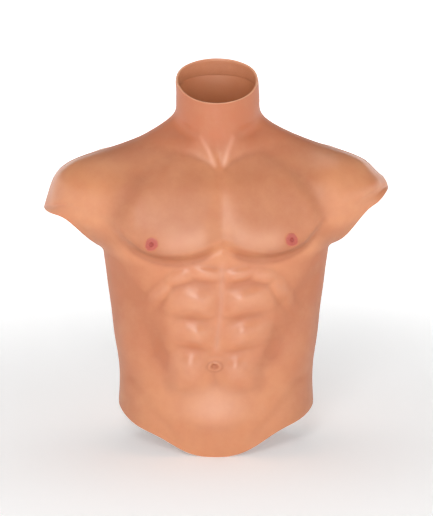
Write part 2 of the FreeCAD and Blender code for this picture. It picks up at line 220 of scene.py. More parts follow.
def outward(side, across, along):
    """The outward unit normals of the outer surface."""
    across, along = paired(across, along)
    reach = 0.01
    u = np.clip(across, reach - 1, 1 - reach)
    v = np.clip(along, reach, LAST - reach)
    over = surface(side, u + reach, v) - surface(side, u - reach, v)
    up = surface(side, u, v + reach) - surface(side, u, v - reach)
    normal = np.cross(over, up) * -SIDE_SIGN[side]
    low, high = np.where(along >= TIP, TIP, 0), np.where(along >= TIP, LAST, ARMPIT)
    run = seam_line(np.clip(v + 0.02, low, high), 1) - seam_line(np.clip(v - 0.02, low, high), 1)
    at_seam = np.cross(seam_across(along), run)
    at_seam[..., 0] *= np.sign(across)
    bonded = (np.abs(across) > 0.999) & ((along <= ARMPIT) | (along >= TIP))
    normal = np.where(bonded[..., None], at_seam, normal)
    return normal / np.linalg.norm(normal, axis=-1, keepdims=True)


def find(side, x, z):
    """Where the surface has this x and z, as across and along."""
    x, z = paired(x, z)
    u, v = x / 200.0, np.full(x.shape, ARMPIT - 1.0)
    reach = 0.001
    for _ in range(40):
        here = surface(side, u, v)
        right = (surface(side, u + reach, v) - here) / reach
        up = (surface(side, u, v + reach) - here) / reach
        det = right[..., 0] * up[..., 2] - right[..., 2] * up[..., 0]
        dx, dz = x - here[..., 0], z - here[..., 2]
        u = u + np.clip((dx * up[..., 2] - dz * up[..., 0]) / det, -0.2, 0.2)
        v = v + np.clip((right[..., 0] * dz - right[..., 2] * dx) / det, -0.5, 0.5)
        u, v = np.clip(u, -0.99, 0.99), np.clip(v, 0.01, LAST - 0.01)
    return u, v


print("chest front is at", surface("front", 0.0, 3.0).round(1), "mm")

# %% [markdown]
# ## The muscles
# Muscles could be sculpted or displaced by a picture. Here each one is a named shape in the
# front view: a mound for a muscle belly, a path for a groove, ridge or fold. Their sum is a
# height above the smooth surface, so it can be measured and changed one muscle at a time.


# %% Mounds, paths and heights
def mound(x, z, centre, half, turn=0.0, power=2.4, soft=0.25):
    """1 on a rounded muscle belly and 0 outside it."""
    c, s = math.cos(math.radians(turn)), math.sin(math.radians(turn))
    dx, dz = x - centre[0], z - centre[1]
    a, b = np.abs(dx * c + dz * s) / half[0], np.abs(dz * c - dx * s) / half[1]
    return 1 - step(soft, 1.15, (a**power + b**power) ** (1 / power))


def path_gap(x, z, path):
    """The distance in millimetres from each point to a path."""
    gap = np.full(np.shape(x), 1e9)
    for (x0, z0), (x1, z1) in zip(path, path[1:]):
        length = (x1 - x0) ** 2 + (z1 - z0) ** 2
        t = np.clip(((x - x0) * (x1 - x0) + (z - z0) * (z1 - z0)) / length, 0, 1)
        gap = np.minimum(gap, np.hypot(x - x0 - t * (x1 - x0), z - z0 - t * (z1 - z0)))
    return gap


def bump_at(value, centre, width):
    """1 where the value is at its centre, falling off smoothly over a width."""
    return np.exp(-(((value - centre) / width) ** 2))


def line_on(x, z, path, width):
    """1 on a path, falling off smoothly over its width."""
    return bump_at(path_gap(x, z, path), 0, width)


# %% The front's muscles
FOLD = np.poly1d(np.polyfit(
    [0, 15, 38, 63, 92, 122, 151, 171], [-111, -117, -127, -132, -129, -119, -104, -84], 4
))
DELTOID_EDGE = [(78, 26), (104, 10), (124, -12), (143, -38), (158, -66), (165, -88), (156, -106)]
CLAVICLE = [(13, 15), (24, 25), (42, 32), (72, 38), (102, 46)]
BELOW_CLAVICLE = [(6, 0), (22, 13), (42, 22), (72, 29), (101, 37)]
NECK_CORD = [(7, 8), (10, 16), (15, 30), (24, 50)]
SEMILUNAR = [(94, -200), (92, -225), (86, -262), (78, -300)]
OBLIQUE = [(162, -166), (124, -196), (107, -243), (88, -284)]
GROIN = [(128, -338), (104, -366), (84, -396), (60, -428)]
# Each is a place, half sizes, turn in degrees and, except for painted highlights, a height.
BELLY_BLOCKS = [
    ((25, -155), (30, 13), 3, 5.8), ((64, -162), (24, 13), -16, 4.6),
    ((90, -184), (17, 26), 38, 4.6), ((114, -206), (16, 28), 32, 2.2),
    ((44, -199), (46, 27), 4, 9.6), ((41, -252), (41, 24), 5, 8.8), ((38, -312), (37, 35), 0, 8.4),
]
BELLY_CRESTS = [
    ((31, -199), (24, 19), 0, 2.4), ((20, -216), (15, 7), 0, 1.6), ((31, -251), (15, 22), -18, 2.4),
    ((33, -306), (19, 23), 0, 4.4), ((88, -182), (10, 17), 38, 1.8),
]
# Where painted highlight lies on the belly's blocks.
PAINTED_HIGHLIGHTS = [
    ((24, -154), (30, 12), 0), ((60, -160), (22, 12), -14), ((34, -196), (30, 22), 0),
    ((32, -250), (20, 22), -12), ((34, -306), (22, 24), 0),
]
PEC_HEIGHT, PEC_OUTER_END = 11.5, (128, 184)
NAVEL_Z, NAVEL_SIZE = -303, (8.2, 6.0)


def pec_height(x, z):
    """The chest muscles: a soft fold below, fading up towards the clavicle."""
    out = np.abs(x)
    above = z - FOLD(np.minimum(out, 175))
    swell = step(-3, 12 + 0.3 * np.clip(out - 110, 0, 60), above) * (1 - 0.94 * step(4, 122, above))
    between = 1 - 0.46 * bump_at(x, 0, 22)
    return PEC_HEIGHT * swell * between * (1 - step(*PEC_OUTER_END, out))


def navel_ring(x, z):
    """The distance from the navel's middle; its ring lies at 1."""
    return np.hypot(x / NAVEL_SIZE[0], (z - NAVEL_Z) / NAVEL_SIZE[1])


def navel(x, z):
    """A ring with a hood over it and a small hollow."""
    away = navel_ring(x, z)
    ring = 2.6 * bump_at(away, 0.95, 0.32) - 3.0 * bump_at(away, 0, 0.62)
    return ring + 1.2 * mound(x, z, (0, -293), (12, 6)) + 1.0 * mound(x, z, (1, -304), (3, 2.4))


def wander(x, z):
    """Moves points a little, because hand-modelled muscles are never quite even."""
    return (
        x + 2.6 * np.sin(z / 17 + 0.6) + 1.8 * np.sin(x / 21 - z / 29),
        z + 2.4 * np.sin(x / 19 + 1.3) + 1.6 * np.sin(x / 37 + z / 23),
    )


def front_relief(x, z):
    """The front's height above the smooth surface, in millimetres."""
    out = np.abs(x)
    belly_x, belly_z = wander(x, z)
    belly_x = np.abs(belly_x)
    h = pec_height(x, z)
    under = FOLD(np.minimum(out, 175)) - z
    h -= 1.8 * bump_at(under, 5, 5) * (1 - step(110, 160, out))
    h -= 0.8 * bump_at(x, 0, 8) * step(-112, -96, z) * (1 - step(-6, 12, z))
    h -= 2.0 * line_on(out, z, DELTOID_EDGE, 12)
    h += 4.0 * mound(out, z, (205, -12), (52, 62), 28)
    h += 1.5 * line_on(out, z, CLAVICLE, 12) * step(10, 44, out)
    h -= 1.5 * line_on(out, z, BELOW_CLAVICLE, 9) * step(6, 30, out)
    h -= 3.0 * mound(out, z, (52, 58), (28, 13), 16)
    h += 1.7 * line_on(out, z, NECK_CORD, 7.4) * (1 - 0.4 * step(40, 60, z)) * step(4, 22, z)
    h -= 2.0 * mound(x, z, (0, 34), (14, 30), power=2, soft=0)
    h += 2.0 * mound(x, z, (0, 84), (10, 14))
    blocks = [
        tall * mound(belly_x, belly_z, centre, half, turn, power=2.4, soft=0.15)
        for centre, half, turn, tall in BELLY_BLOCKS
    ]
    h += np.sum(np.power(blocks, 4), 0) ** 0.25
    for centre, half, turn, tall in BELLY_CRESTS:
        h += tall * mound(belly_x, belly_z, centre, half, turn, power=2, soft=0)
    h -= 1.4 * bump_at(x, 0, 3.5) * (1 - step(-150, -138, z)) * step(-292, -262, z)
    h -= 2.0 * line_on(out, z, SEMILUNAR, 12)
    h -= 3.0 * line_on(out, z, OBLIQUE, 13)
    h += 4.0 * mound(out, z, (126, -268), (32, 66), -8)
    h += 3.8 * mound(x, z, (0, -368), (50, 36), 0)
    h -= 1.6 * line_on(out, z, GROIN, 12)
    return h + navel(x, z)


print("the chest's fold is", round(float(FOLD(60))), "mm below the shoulder rest")


# %% The back's muscles
BLADE_EDGE = [(46, -22), (52, -60), (70, -96), (98, -118), (128, -112)]
BLADE_SPINE = [(52, -14), (92, 0), (140, 18), (180, 20)]
LAT_EDGE = [(152, -150), (128, -196), (96, -246), (62, -296), (34, -340)]


def back_relief(x, z):
    """The back's height above the smooth surface, in millimetres."""
    out = np.abs(x)
    h = -5.0 * bump_at(x, 0, 13) * (1 - step(30, 84, z)) * step(-430, -370, z)
    h += 3.6 * mound(out, z, (32, -300), (22, 92), 4)
    h += 3.8 * mound(out, z, (88, -62), (44, 54), 12)
    h += 2.4 * line_on(out, z, BLADE_SPINE, 11)
    h -= 2.6 * line_on(out, z, BLADE_EDGE, 9)
    h += 3.6 * mound(out, z, (112, -168), (48, 66), 26)
    h -= 2.4 * line_on(out, z, LAT_EDGE, 11)
    h += 3.0 * mound(out, z, (34, 34), (32, 62), 24)
    h += 3.4 * mound(out, z, (205, -10), (50, 58), 26)
    h -= 2.6 * mound(out, z, (40, -388), (13, 15))
    h += 2.4 * mound(out, z, (96, -366), (52, 42), -14)
    return h


RELIEF = {"front": front_relief, "back": back_relief}


def seam_fade(across, along):
    """0 on the seams, lower at the rim and the hem, and 1 where the muscles have their full height.
    """
    edge = step(0, 0.17, 1 - np.abs(across))
    low = 0.35 + 0.65 * step(0, 0.4, along)
    return edge * low * (1 - 0.7 * step(9.0, 9.9, along))


probe = front_relief(np.array([0.0, 60.0, 60.0, 43.0]), np.array([-60.0, -110.0, -140.0, -196.0]))
print("heights at sternum, chest, under the fold and belly:", probe.round(1), "mm")

# %% [markdown]
# ## The way it hangs
# Soft silicone never hangs quite straight. The chest is turned a little to the wearer's left,
# one sleeve droops and the other rides up. One function moves the points of every layer the
# same way, so the pieces stay inside one another.


# %% One lean for every layer
# Turns are in degrees and the rest in design millimetres; left is the wearer's left.
CHEST_TURN, HEM_TURN = 4.6, 1.4
LEFT_SLEEVE_LIFT, RIGHT_SLEEVE_LIFT, SLEEVE_ARCH, ARMPIT_LIFT = 21, -12, 11, 9
HIP_FLARE, CHEST_TILT, SHOULDER_DROP = 4.5, 0.02, 5
NECK_SHIFT, NECK_PINCH, RIM_TILT = 1.5, 3, 4
LEFT_HEM_LIFT, RIGHT_HEM_LIFT = 18, 11


def settle(points):
    """Moves design points to where the soft torso hangs, still in millimetres."""
    p = np.array(points, float)
    x, y, z = p[..., 0], p[..., 1], p[..., 2]
    out, facing = np.abs(x), 1 - step(-30, 10, y)
    turn = CHEST_TURN * step(-300, -190, z) * (1 - step(10, 70, z))
    turn = turn - HEM_TURN * (1 - step(-330, -250, z))
    turn = np.radians(turn) * (1 - step(120, 200, out))
    p[..., 0] = x * np.cos(turn) - y * np.sin(turn) + NECK_SHIFT * step(40, 90, z)
    p[..., 1] = x * np.sin(turn) + y * np.cos(turn)
    sleeve = step(196, 272, out) * step(0, 52, -z)
    p[..., 2] += sleeve * np.where(x > 0, LEFT_SLEEVE_LIFT, RIGHT_SLEEVE_LIFT)
    p[..., 2] += ARMPIT_LIFT * step(120, 190, out) * step(60, 110, -z) * (1 - step(150, 220, -z))
    p[..., 2] += SLEEVE_ARCH * bump_at(out, 238, 26) * step(40, 76, -z)
    p[..., 0] += np.sign(x) * HIP_FLARE * (1 - step(-290, -210, z)) * step(50, 150, out)
    p[..., 0] += NECK_PINCH * step(20, 60, -x) * step(30, 60, z) * (1 - step(110, 140, z))
    tilted = step(-260, -150, z) * (1 - step(-30, 30, z)) * (1 - step(150, 220, out))
    p[..., 2] += CHEST_TILT * x * tilted
    p[..., 2] -= SHOULDER_DROP * step(70, 130, -x) * step(-30, 10, z)
    rim = step(100, 150, z) * step(-60, -20, np.abs(y) - 60)
    p[..., 2] += RIM_TILT * (1 - 2 * facing) * rim
    lobe = bump_at(out, np.where(x > 0, 110, 92), np.where(x > 0, 44, 38))
    lobe *= (1 - step(-452, -372, z)) * facing
    p[..., 2] += lobe * np.where(x > 0, LEFT_HEM_LIFT, RIGHT_HEM_LIFT)
    return p


tip_heights = [settle(TIP_POINT * (sign, 1, 1))[2].round() for sign in (1, -1)]
print("sleeve tips at", *tip_heights, "mm")

# %% [markdown]
# ## Layers and closed shells
# Skin, tape, pad and lining are all sheets of silicone or filling at their own depth. Each one
# could be a plane with a Solidify modifier, but its edges would come out square. Here a sheet
# is two grids of points, an outer and an inner one, joined by a rounded edge.

# %% Points of any layer
SEAM_GAP = 0.3
SKIN_WALL = 3.5
UNDER_SKIN = 3.8


def height_over(side, across, along, base):
    """The muscles' height above points of the smooth surface."""
    return RELIEF[side](base[..., 0], base[..., 2]) * seam_fade(across, along)


def seam_gap(side, across, along):
    """Holds each half back from the seam, by half the glue's thickness."""
    back = SIDE_SIGN[side] * SEAM_GAP / 2 * np.abs(across) ** 3
    return seam_across(along) * back[..., None]


def layer(side, across, along, depth=0.0, follow=None):
    """Points of a layer in metres, where it hangs; it follows the muscles unless told less."""
    across, along = paired(across, along)
    base = surface(side, across, along)
    height = height_over(side, across, along, base)
    if follow is not None:
        height = follow(height)
    points = base + outward(side, across, along) * (height - depth)[..., None]
    return settle(points + seam_gap(side, across, along)) * MM


# %% From grids of points to a closed mesh
def grid_faces(rows, columns, closed=False):
    """Quads of a grid, as four columns of point numbers."""
    last = columns if closed else columns - 1
    r, c = np.meshgrid(np.arange(rows - 1), np.arange(last), indexing="ij")
    r, c = r.ravel(), c.ravel()
    right, above = (c + 1) % columns, (r + 1) * columns
    return np.stack([r * columns + c, r * columns + right, above + right, above + c], 1)


def edge_loop(rows, columns):
    """The point numbers round a grid's edge, once round."""
    numbers = np.arange(rows * columns).reshape(rows, columns)
    return np.concatenate([numbers[0], numbers[1:, -1], numbers[-1, -2::-1], numbers[-2:0:-1, 0]])


def inner_neighbours(rows, columns):
    """For each grid point the nearest one that isn't on the grid's edge."""
    r, c = np.meshgrid(np.arange(rows), np.arange(columns), indexing="ij")
    r, c = np.clip(r, 1, rows - 2), np.clip(c, 1, columns - 2)
    return (r * columns + c).ravel()


def place_in_scene(name, data):
    """A new object at the origin, unturned and unscaled."""
    thing = bpy.data.objects.new(name, data)
    bpy.context.scene.collection.objects.link(thing)
    return thing


def close_poles(piece, solid=True):
    """Joins the points of a round grid that lie on one spot; a solid's faces turn outward."""
    work = bmesh.new()
    work.from_mesh(piece.data)
    bmesh.ops.remove_doubles(work, verts=work.verts, dist=1e-5)
    if solid:
        bmesh.ops.recalc_face_normals(work, faces=work.faces)
    work.to_mesh(piece.data)
    work.free()


def make_piece(name, points, faces, flip=False):
    """A smooth mesh object from points in metres and quads."""
    faces = np.asarray(faces)
    if flip:
        faces = faces[:, ::-1]
    mesh = bpy.data.meshes.new(name)
    mesh.from_pydata(np.asarray(points).reshape(-1, 3).tolist(), [], faces.tolist())
    mesh.validate()
    mesh.polygons.foreach_set("use_smooth", [True] * len(mesh.polygons))
    return place_in_scene(name, mesh)


def shell(name, outer, inner, bulge=0.0, flip=False, steps=4):
    """A closed sheet between two open grids; its edge bulges out by so many metres."""
    rows, columns = outer.shape[:2]
    flat_outer, flat_inner = outer.reshape(-1, 3), inner.reshape(-1, 3)
    loop = edge_loop(rows, columns)
    beside = inner_neighbours(rows, columns)[loop]
    middle = (flat_outer[loop] + flat_inner[loop]) / 2
    out = middle - (flat_outer[beside] + flat_inner[beside]) / 2
    out /= np.maximum(np.linalg.norm(out, axis=1, keepdims=True), 1e-9)
    size = np.broadcast_to(np.asarray(bulge, float), (rows, columns)).ravel()[loop][:, None]
    rings, numbers = [], [loop]
    start = 2 * rows * columns
    for k in range(1, steps):
        angle = math.pi * k / steps
        ring = middle + (flat_outer[loop] - middle) * math.cos(angle) + out * size * math.sin(angle)
        rings.append(ring)
        numbers.append(start + (k - 1) * len(loop) + np.arange(len(loop)))
    numbers.append(loop + rows * columns)
    faces = [grid_faces(rows, columns), grid_faces(rows, columns)[:, ::-1] + rows * columns]
    for near, far in zip(numbers, numbers[1:]):
        faces.append(np.stack([np.roll(near, -1), near, far, np.roll(far, -1)], 1))
    points = np.concatenate([flat_outer, flat_inner] + rings)
    return make_piece(name, points, np.concatenate(faces), flip)


def ring_band(name, outer, inner, flip=False):
    """A closed band between two grids whose last column meets the first."""
    rows, columns = outer.shape[:2]
    count = rows * columns
    faces = [grid_faces(rows, columns, True), grid_faces(rows, columns, True)[:, ::-1] + count]
    first, last = np.arange(columns), np.arange(count - columns, count)
    first_next, last_next = np.roll(first, -1), np.roll(last, -1)
    faces.append(np.stack([first_next, first, first + count, first_next + count], 1))
    faces.append(np.stack([last, last_next, last_next + count, last + count], 1))
    points = np.concatenate([outer.reshape(-1, 3), inner.reshape(-1, 3)])
    return make_piece(name, points, np.concatenate(faces), flip)


def paint(piece, name, colours):
    """Stores one colour at every point, for a material to read by name."""
    attribute = piece.data.color_attributes.new(name, "FLOAT_COLOR", "POINT")
    full = np.ones((len(piece.data.vertices), 4))
    full[:, :3] = colours
    attribute.data.foreach_set("color", full.ravel())


# %% [markdown]
# ## The two skins
# Each half is poured into its own mould, so each is its own piece here. The grid is closest
# along the middle, where the belly's middle line and the navel need small steps. Near the
# sleeve tips the grid is relaxed, as thick silicone never keeps a sharp crease.

# %% Where the grid lines run
ROWS_PER_LINE = (40, 52, 32, 20, 20, 14, 11, 13, 12, 12)
COLUMNS = 196


def skin_grid():
    spread = np.linspace(-1, 1, COLUMNS + 1)
    across = np.sign(spread) * (0.6 * np.abs(spread) + 0.4 * spread**2)
    along = [np.linspace(i, i + 1, n, endpoint=False) for i, n in enumerate(ROWS_PER_LINE)]
    return np.meshgrid(across, np.append(np.concatenate(along), LAST))


ACROSS, ALONG = skin_grid()
print("each skin's grid has", ACROSS.shape[0], "rows and", ACROSS.shape[1], "columns")


# %% Relaxing and blurring a grid
def blur(values, rounds):
    """Smooths a grid of numbers, keeping its edge in place."""
    v = np.array(values, float)
    for _ in range(rounds):
        v[1:-1] = (v[:-2] + 2 * v[1:-1] + v[2:]) / 4
        v[:, 1:-1] = (v[:, :-2] + 2 * v[:, 1:-1] + v[:, 2:]) / 4
    return v


def relax_tips(points):
    """Smooths the grid round the sleeve tips and leaves the rest alone."""
    for sign in (-1, 1):
        tip = settle(TIP_POINT * (sign, 1, 1)) * MM
        near = 1 - step(0.018, 0.065, np.linalg.norm(points - tip, axis=-1))
        near = near * (1 - step(0.84, 0.99, np.abs(ACROSS)))
        calm = np.stack([blur(points[..., i], 40) for i in range(3)], -1)
        points = points + (calm - points) * near[..., None]
    return points


# %% Nipple places and the pockets under them
NIPPLES = {"left": (105.0, -104.0), "right": (-105.0, -104.0)}
AREOLA_RADIUS = 9.5
POCKET_DEPTH = 1.4


def pockets(base):
    sunk = np.zeros(base.shape[:-1])
    for x, z in NIPPLES.values():
        away = np.hypot(base[..., 0] - x, base[..., 2] - z)
        sunk -= POCKET_DEPTH * (1 - step(AREOLA_RADIUS - 4.0, AREOLA_RADIUS - 1.6, away))
    return sunk


# %% The airbrushed shades
def painted_shade_and_highlight(height):
    """Painted shade from 0 to 1 in the hollows, and painted highlight on the crests."""
    painted_hollow_shade, painted_crest_highlight = (blur(height, 22) - height) / 2.6, (height - blur(height, 44)) / 3.0
    return np.clip(painted_hollow_shade, 0, 1), np.clip(painted_crest_highlight, 0, 1)


def front_shades(base, height):
    """Three masks: tan and painted shade, painted highlight, and a ruddier tone."""
    x, z = base[..., 0], base[..., 2]
    out = np.abs(x)
    painted_hollow_shade, painted_crest_highlight = painted_shade_and_highlight(height)
    fold = z - FOLD(np.minimum(out, 175))
    chest = mound(out, z, (72, -60), (98, 90), 0, power=3, soft=0.72)
    chest *= step(-2, 7 + 0.2 * np.clip(out - 110, 0, 60), fold)
    belly = 1 - step(-150, -128, z)
    # Painted shade in hollows, folds, grooves, flanks, sleeves and navel; darker tone on chest,
    # neck.
    tan_and_painted_shade = (0.25 + 0.95 * belly) * painted_hollow_shade + 0.6 * chest * (1 - 0.55 * bump_at(x, 0, 24))
    tan_and_painted_shade += 0.9 * bump_at(fold, -5, 7) * (1 - step(130, 165, out)) * step(8, 30, out)
    tan_and_painted_shade += 0.5 * bump_at(fold, 7, 11) * step(44, 84, out) * (1 - step(120, 160, out))
    tan_and_painted_shade += 0.28 * line_on(out, z, DELTOID_EDGE[2:], 13)
    tan_and_painted_shade += 0.4 * line_on(out, z, BELOW_CLAVICLE, 3.5) * step(2, 12, out)
    tan_and_painted_shade += 0.7 * line_on(out, z, OBLIQUE, 20)
    tan_and_painted_shade += 0.5 * mound(out, z, (68, -324), (16, 34), 0, soft=0.1)
    tan_and_painted_shade += belly * (0.7 * step(90, 150, out) + 0.2 * line_on(out, z, SEMILUNAR, 14))
    tan_and_painted_shade += 0.6 * step(140, 176, out) * (1 - step(-120, -80, z))
    ring = navel_ring(x, z)
    tan_and_painted_shade += 0.9 * bump_at(ring, 0.55, 0.2) + 0.8 * bump_at(ring, 1.4, 0.24)
    tan_and_painted_shade += 0.1 * step(206, 268, out) + 0.3 * mound(out, z, (56, 60), (34, 16), 16)
    tan_and_painted_shade += 0.9 * step(4, 46, z)
    # Blush: painted highlight on crests, belly blocks, chest, middle line, lower belly and neck.
    blush_and_painted_highlight = 0.16 * painted_crest_highlight * belly + 0.1 * belly * (1 - step(60, 92, out)) * step(-400, -380, z)
    for centre, half, turn in PAINTED_HIGHLIGHTS:
        blush_and_painted_highlight += 0.18 * mound(out, z, centre, half, turn, power=2, soft=0)
    blush_and_painted_highlight += 0.4 * bump_at(fold, 26, 16) * step(14, 34, out) * (1 - step(70, 110, out))
    blush_and_painted_highlight += 0.45 * bump_at(x, 0, 5) * belly * step(-286, -270, z)
    blush_and_painted_highlight += 0.6 * mound(x, z, (0, -372), (60, 44), power=2, soft=0)
    blush_and_painted_highlight += 0.5 * line_on(out, z, NECK_CORD, 3.6) + 0.1 * mound(x, z, (0, 84), (9, 15))
    ruddy = 0.7 * step(10, 60, z) + 0.25 * belly * step(-360, -300, z)
    ruddy += 0.3 * bump_at(x, 0, 8) * step(-50, -20, z) * (1 - step(10, 30, z))
    ruddy += 0.2 * step(210, 270, out)
    return np.clip(np.stack([tan_and_painted_shade, blush_and_painted_highlight, ruddy], -1), 0, 1)


def back_shades(base, height):
    x, z = base[..., 0], base[..., 2]
    out = np.abs(x)
    painted_hollow_shade, painted_crest_highlight = painted_shade_and_highlight(height)
    # Painted shade in hollows, on sleeves and lower flanks; painted highlight on the crests.
    tan_and_painted_shade = 0.85 * painted_hollow_shade + 0.35 * step(196, 262, out)
    tan_and_painted_shade += 0.3 * step(96, 160, out) * (1 - step(-150, -120, z))
    blush_and_painted_highlight = 0.2 * step(-160, -100, z) * (1 - step(-20, 20, z)) * (1 - step(90, 130, out))
    blush_and_painted_highlight += 0.7 * painted_crest_highlight
    ruddy = 0.5 * step(40, 90, z) + 0.3 * step(210, 270, out)
    return np.clip(np.stack([tan_and_painted_shade, blush_and_painted_highlight, ruddy], -1), 0, 1)


SHADES = {"front": front_shades, "back": back_shades}


# %% Pouring a skin
def pour_skin(side):
    """One closed half of the skin, with the masks for its shades."""
    base = surface(side, ACROSS, ALONG)
    normal = outward(side, ACROSS, ALONG)
    height = height_over(side, ACROSS, ALONG, base)
    dip = pockets(base) if side == "front" else np.zeros_like(height)
    gap = seam_gap(side, ACROSS, ALONG)
    outer = relax_tips(settle(base + normal * (height + dip)[..., None] + gap) * MM)
    inner = relax_tips(settle(base + normal * (height - SKIN_WALL)[..., None] + gap) * MM)
    open_edge = (ALONG < 0.01) | (ALONG > LAST - 0.01)
    open_edge |= (np.abs(ACROSS) > 0.999) & (ALONG > ARMPIT) & (ALONG < TIP)
    bulge = np.where(open_edge, 0.55 * SKIN_WALL * MM, 0.0)
    piece = shell(f"{side}_skin_piece", outer, inner, bulge, flip=(side == "back"), steps=6)
    shades = SHADES[side](base, height)
    # A ruddy strip along each side seam, and beside it a thin line of painted highlight.
    flank, under_arm = np.abs(ACROSS), 1 - step(2.85, 3.0, ALONG)
    shades[..., 2] += 0.6 * step(0.94, 0.97, flank) * under_arm
    shades[..., 1] += 0.3 * bump_at(flank, 0.93, 0.008) * step(1.0, 2.4, ALONG) * under_arm
    if side == "front":
        for x, z in NIPPLES.values():
            away = np.hypot(base[..., 0] - x, base[..., 2] - z)
            shades[..., 2] += 0.8 * (1 - step(AREOLA_RADIUS - 1, AREOLA_RADIUS + 4, away))
    count = ALONG.size
    # Masks of tone, painted shade and painted highlight, on the outer face only.
    tone_and_painted_light, inside = np.zeros((2, len(piece.data.vertices), 3))
    tone_and_painted_light[:count] = np.clip(shades, 0, 1).reshape(-1, 3)
    paint(piece, "tone_and_painted_light", tone_and_painted_light)
    inside[count : 2 * count, 0] = 1.0
    # Painted shade: the inner wall is darker below the neck.
    inside[count : 2 * count, 1] = 1 - step(70, 150, base[..., 2]).ravel()
    inside[2 * count :, 2] = 1.0
    paint(piece, "inside", inside)
    piece.data.set_sharp_from_angle(angle=math.radians(62))
    return piece


front_skin = pour_skin("front")
back_skin = pour_skin("back")
for skin in (front_skin, back_skin):
    print(skin.name, "has", sum(len(p.vertices) - 2 for p in skin.data.polygons), "triangles")

# %% [markdown]
# ## Silicone finishes
# Cast silicone could be one skin colour, but a real one is tinted in the pour and then
# airbrushed. The material mixes tan and painted shade, painted highlight and a ruddy tone
# over the cast colour, using the masks stored on the mesh. Pores, mottling and dust are node
# groups, so every silicone part uses the same ones with its own values.


# %% Helpers for node groups and materials
def group(name, inputs, outputs, tree_kind="ShaderNodeTree"):
    """A node group with named sockets; each input is (name, kind, start value)."""
    tree = bpy.data.node_groups.new(name, tree_kind)
    for label, kind, start in inputs:
        made = tree.interface.new_socket(label, in_out="INPUT", socket_type=f"NodeSocket{kind}")
        if start is not None:
            made.default_value = start
    for label, kind in outputs:
        tree.interface.new_socket(label, in_out="OUTPUT", socket_type=f"NodeSocket{kind}")
    return tree, tree.nodes.new("NodeGroupInput"), tree.nodes.new("NodeGroupOutput")


def feed(tree, node, inputs):
    """Gives each named input a value or another node's output."""
    for key, value in inputs.items():
        if isinstance(value, bpy.types.NodeSocket):
            tree.links.new(value, node.inputs[key])
        else:
            node.inputs[key].default_value = value


def add(tree, kind, inputs=None, **settings):
    node = tree.nodes.new(kind)
    for key, value in settings.items():
        setattr(node, key, value)
    feed(tree, node, inputs or {})
    return node


def maths(tree, operation, a, b=0.0, clamp=False):
    node = add(tree, "ShaderNodeMath", {0: a, 1: b}, operation=operation, use_clamp=clamp)
    return node.outputs[0]


def mix(tree, factor, a, b):
    return add(tree, "ShaderNodeMix", {0: factor, 6: a, 7: b}, data_type="RGBA").outputs[2]


def new_finish(name):
    """An empty material, its node tree and its shader."""
    material = bpy.data.materials.new(name)
    material.use_nodes = True
    return material, material.node_tree, material.node_tree.nodes["Principled BSDF"]


def colour(red, green, blue):
    """A colour given as on a colour chart, 0 to 255, made linear for the shader."""
    parts = [c / 255 for c in (red, green, blue)]
    return tuple(c / 12.92 if c < 0.04045 else ((c + 0.055) / 1.055) ** 2.4 for c in parts) + (1.0,)


# %% Group: the texture of cast skin
def build_skin_texture():
    tree, given, out = group(
        "cast skin texture",
        [("Pore Size", "Float", 0.0016), ("Mottle Size", "Float", 0.03), ("Mottle", "Float", 1.0)],
        [("Pores", "Float"), ("Mottle", "Float"), ("Waves", "Float")],
    )
    place = add(tree, "ShaderNodeTexCoord").outputs["Object"]
    fine = maths(tree, "DIVIDE", 1.0, given.outputs["Pore Size"])
    broad = maths(tree, "DIVIDE", 1.0, given.outputs["Mottle Size"])
    cells = add(tree, "ShaderNodeTexVoronoi", {"Vector": place, "Scale": fine, "Randomness": 1.0})
    grain = add(tree, "ShaderNodeTexNoise", {"Vector": place, "Scale": fine, "Detail": 3.0})
    pores = maths(tree, "MULTIPLY", cells.outputs["Distance"], 0.6)
    pores = maths(tree, "ADD", pores, maths(tree, "MULTIPLY", grain.outputs["Fac"], 0.7))
    tree.links.new(pores, out.inputs["Pores"])
    patches = add(tree, "ShaderNodeTexNoise", {
        "Vector": place, "Scale": broad, "Detail": 5.0, "Roughness": 0.62,
    })
    centred = maths(tree, "SUBTRACT", patches.outputs["Fac"], 0.5)
    tree.links.new(maths(tree, "MULTIPLY", centred, given.outputs["Mottle"]), out.inputs["Mottle"])
    broader = maths(tree, "MULTIPLY", broad, 0.45)
    waves = add(tree, "ShaderNodeTexNoise", {"Vector": place, "Scale": broader, "Detail": 2.0})
    tree.links.new(waves.outputs["Fac"], out.inputs["Waves"])
    return tree


# %% Group: dust and handling marks
def build_dust():
    tree, given, out = group(
        "dust and handling",
        [("Amount", "Float", 0.3), ("Size", "Float", 0.05)],
        [("Dust", "Float")],
    )
    place = add(tree, "ShaderNodeTexCoord").outputs["Object"]
    scale = maths(tree, "DIVIDE", 1.0, given.outputs["Size"])
    cloud = add(tree, "ShaderNodeTexNoise", {
        "Vector": place, "Scale": scale, "Detail": 6.0, "Roughness": 0.7,
    })
    finer = maths(tree, "MULTIPLY", scale, 22.0)
    specks = add(tree, "ShaderNodeTexVoronoi", {"Vector": place, "Scale": finer})
    spot = maths(tree, "LESS_THAN", specks.outputs["Distance"], 0.09)
    spread = maths(tree, "SUBTRACT", cloud.outputs["Fac"], 0.45, True)
    spread = maths(tree, "MULTIPLY", spread, 1.6, True)
    all_dust = maths(tree, "ADD", spread, maths(tree, "MULTIPLY", spot, 0.35))
    dust = maths(tree, "MULTIPLY", all_dust, given.outputs["Amount"], True)
    tree.links.new(dust, out.inputs["Dust"])
    return tree


SKIN_TEXTURE = build_skin_texture()
DUST = build_dust()
print("groups:", SKIN_TEXTURE.name, "and", DUST.name)


# %% One silicone recipe, five materials
DUST_COLOUR = colour(226, 208, 190)


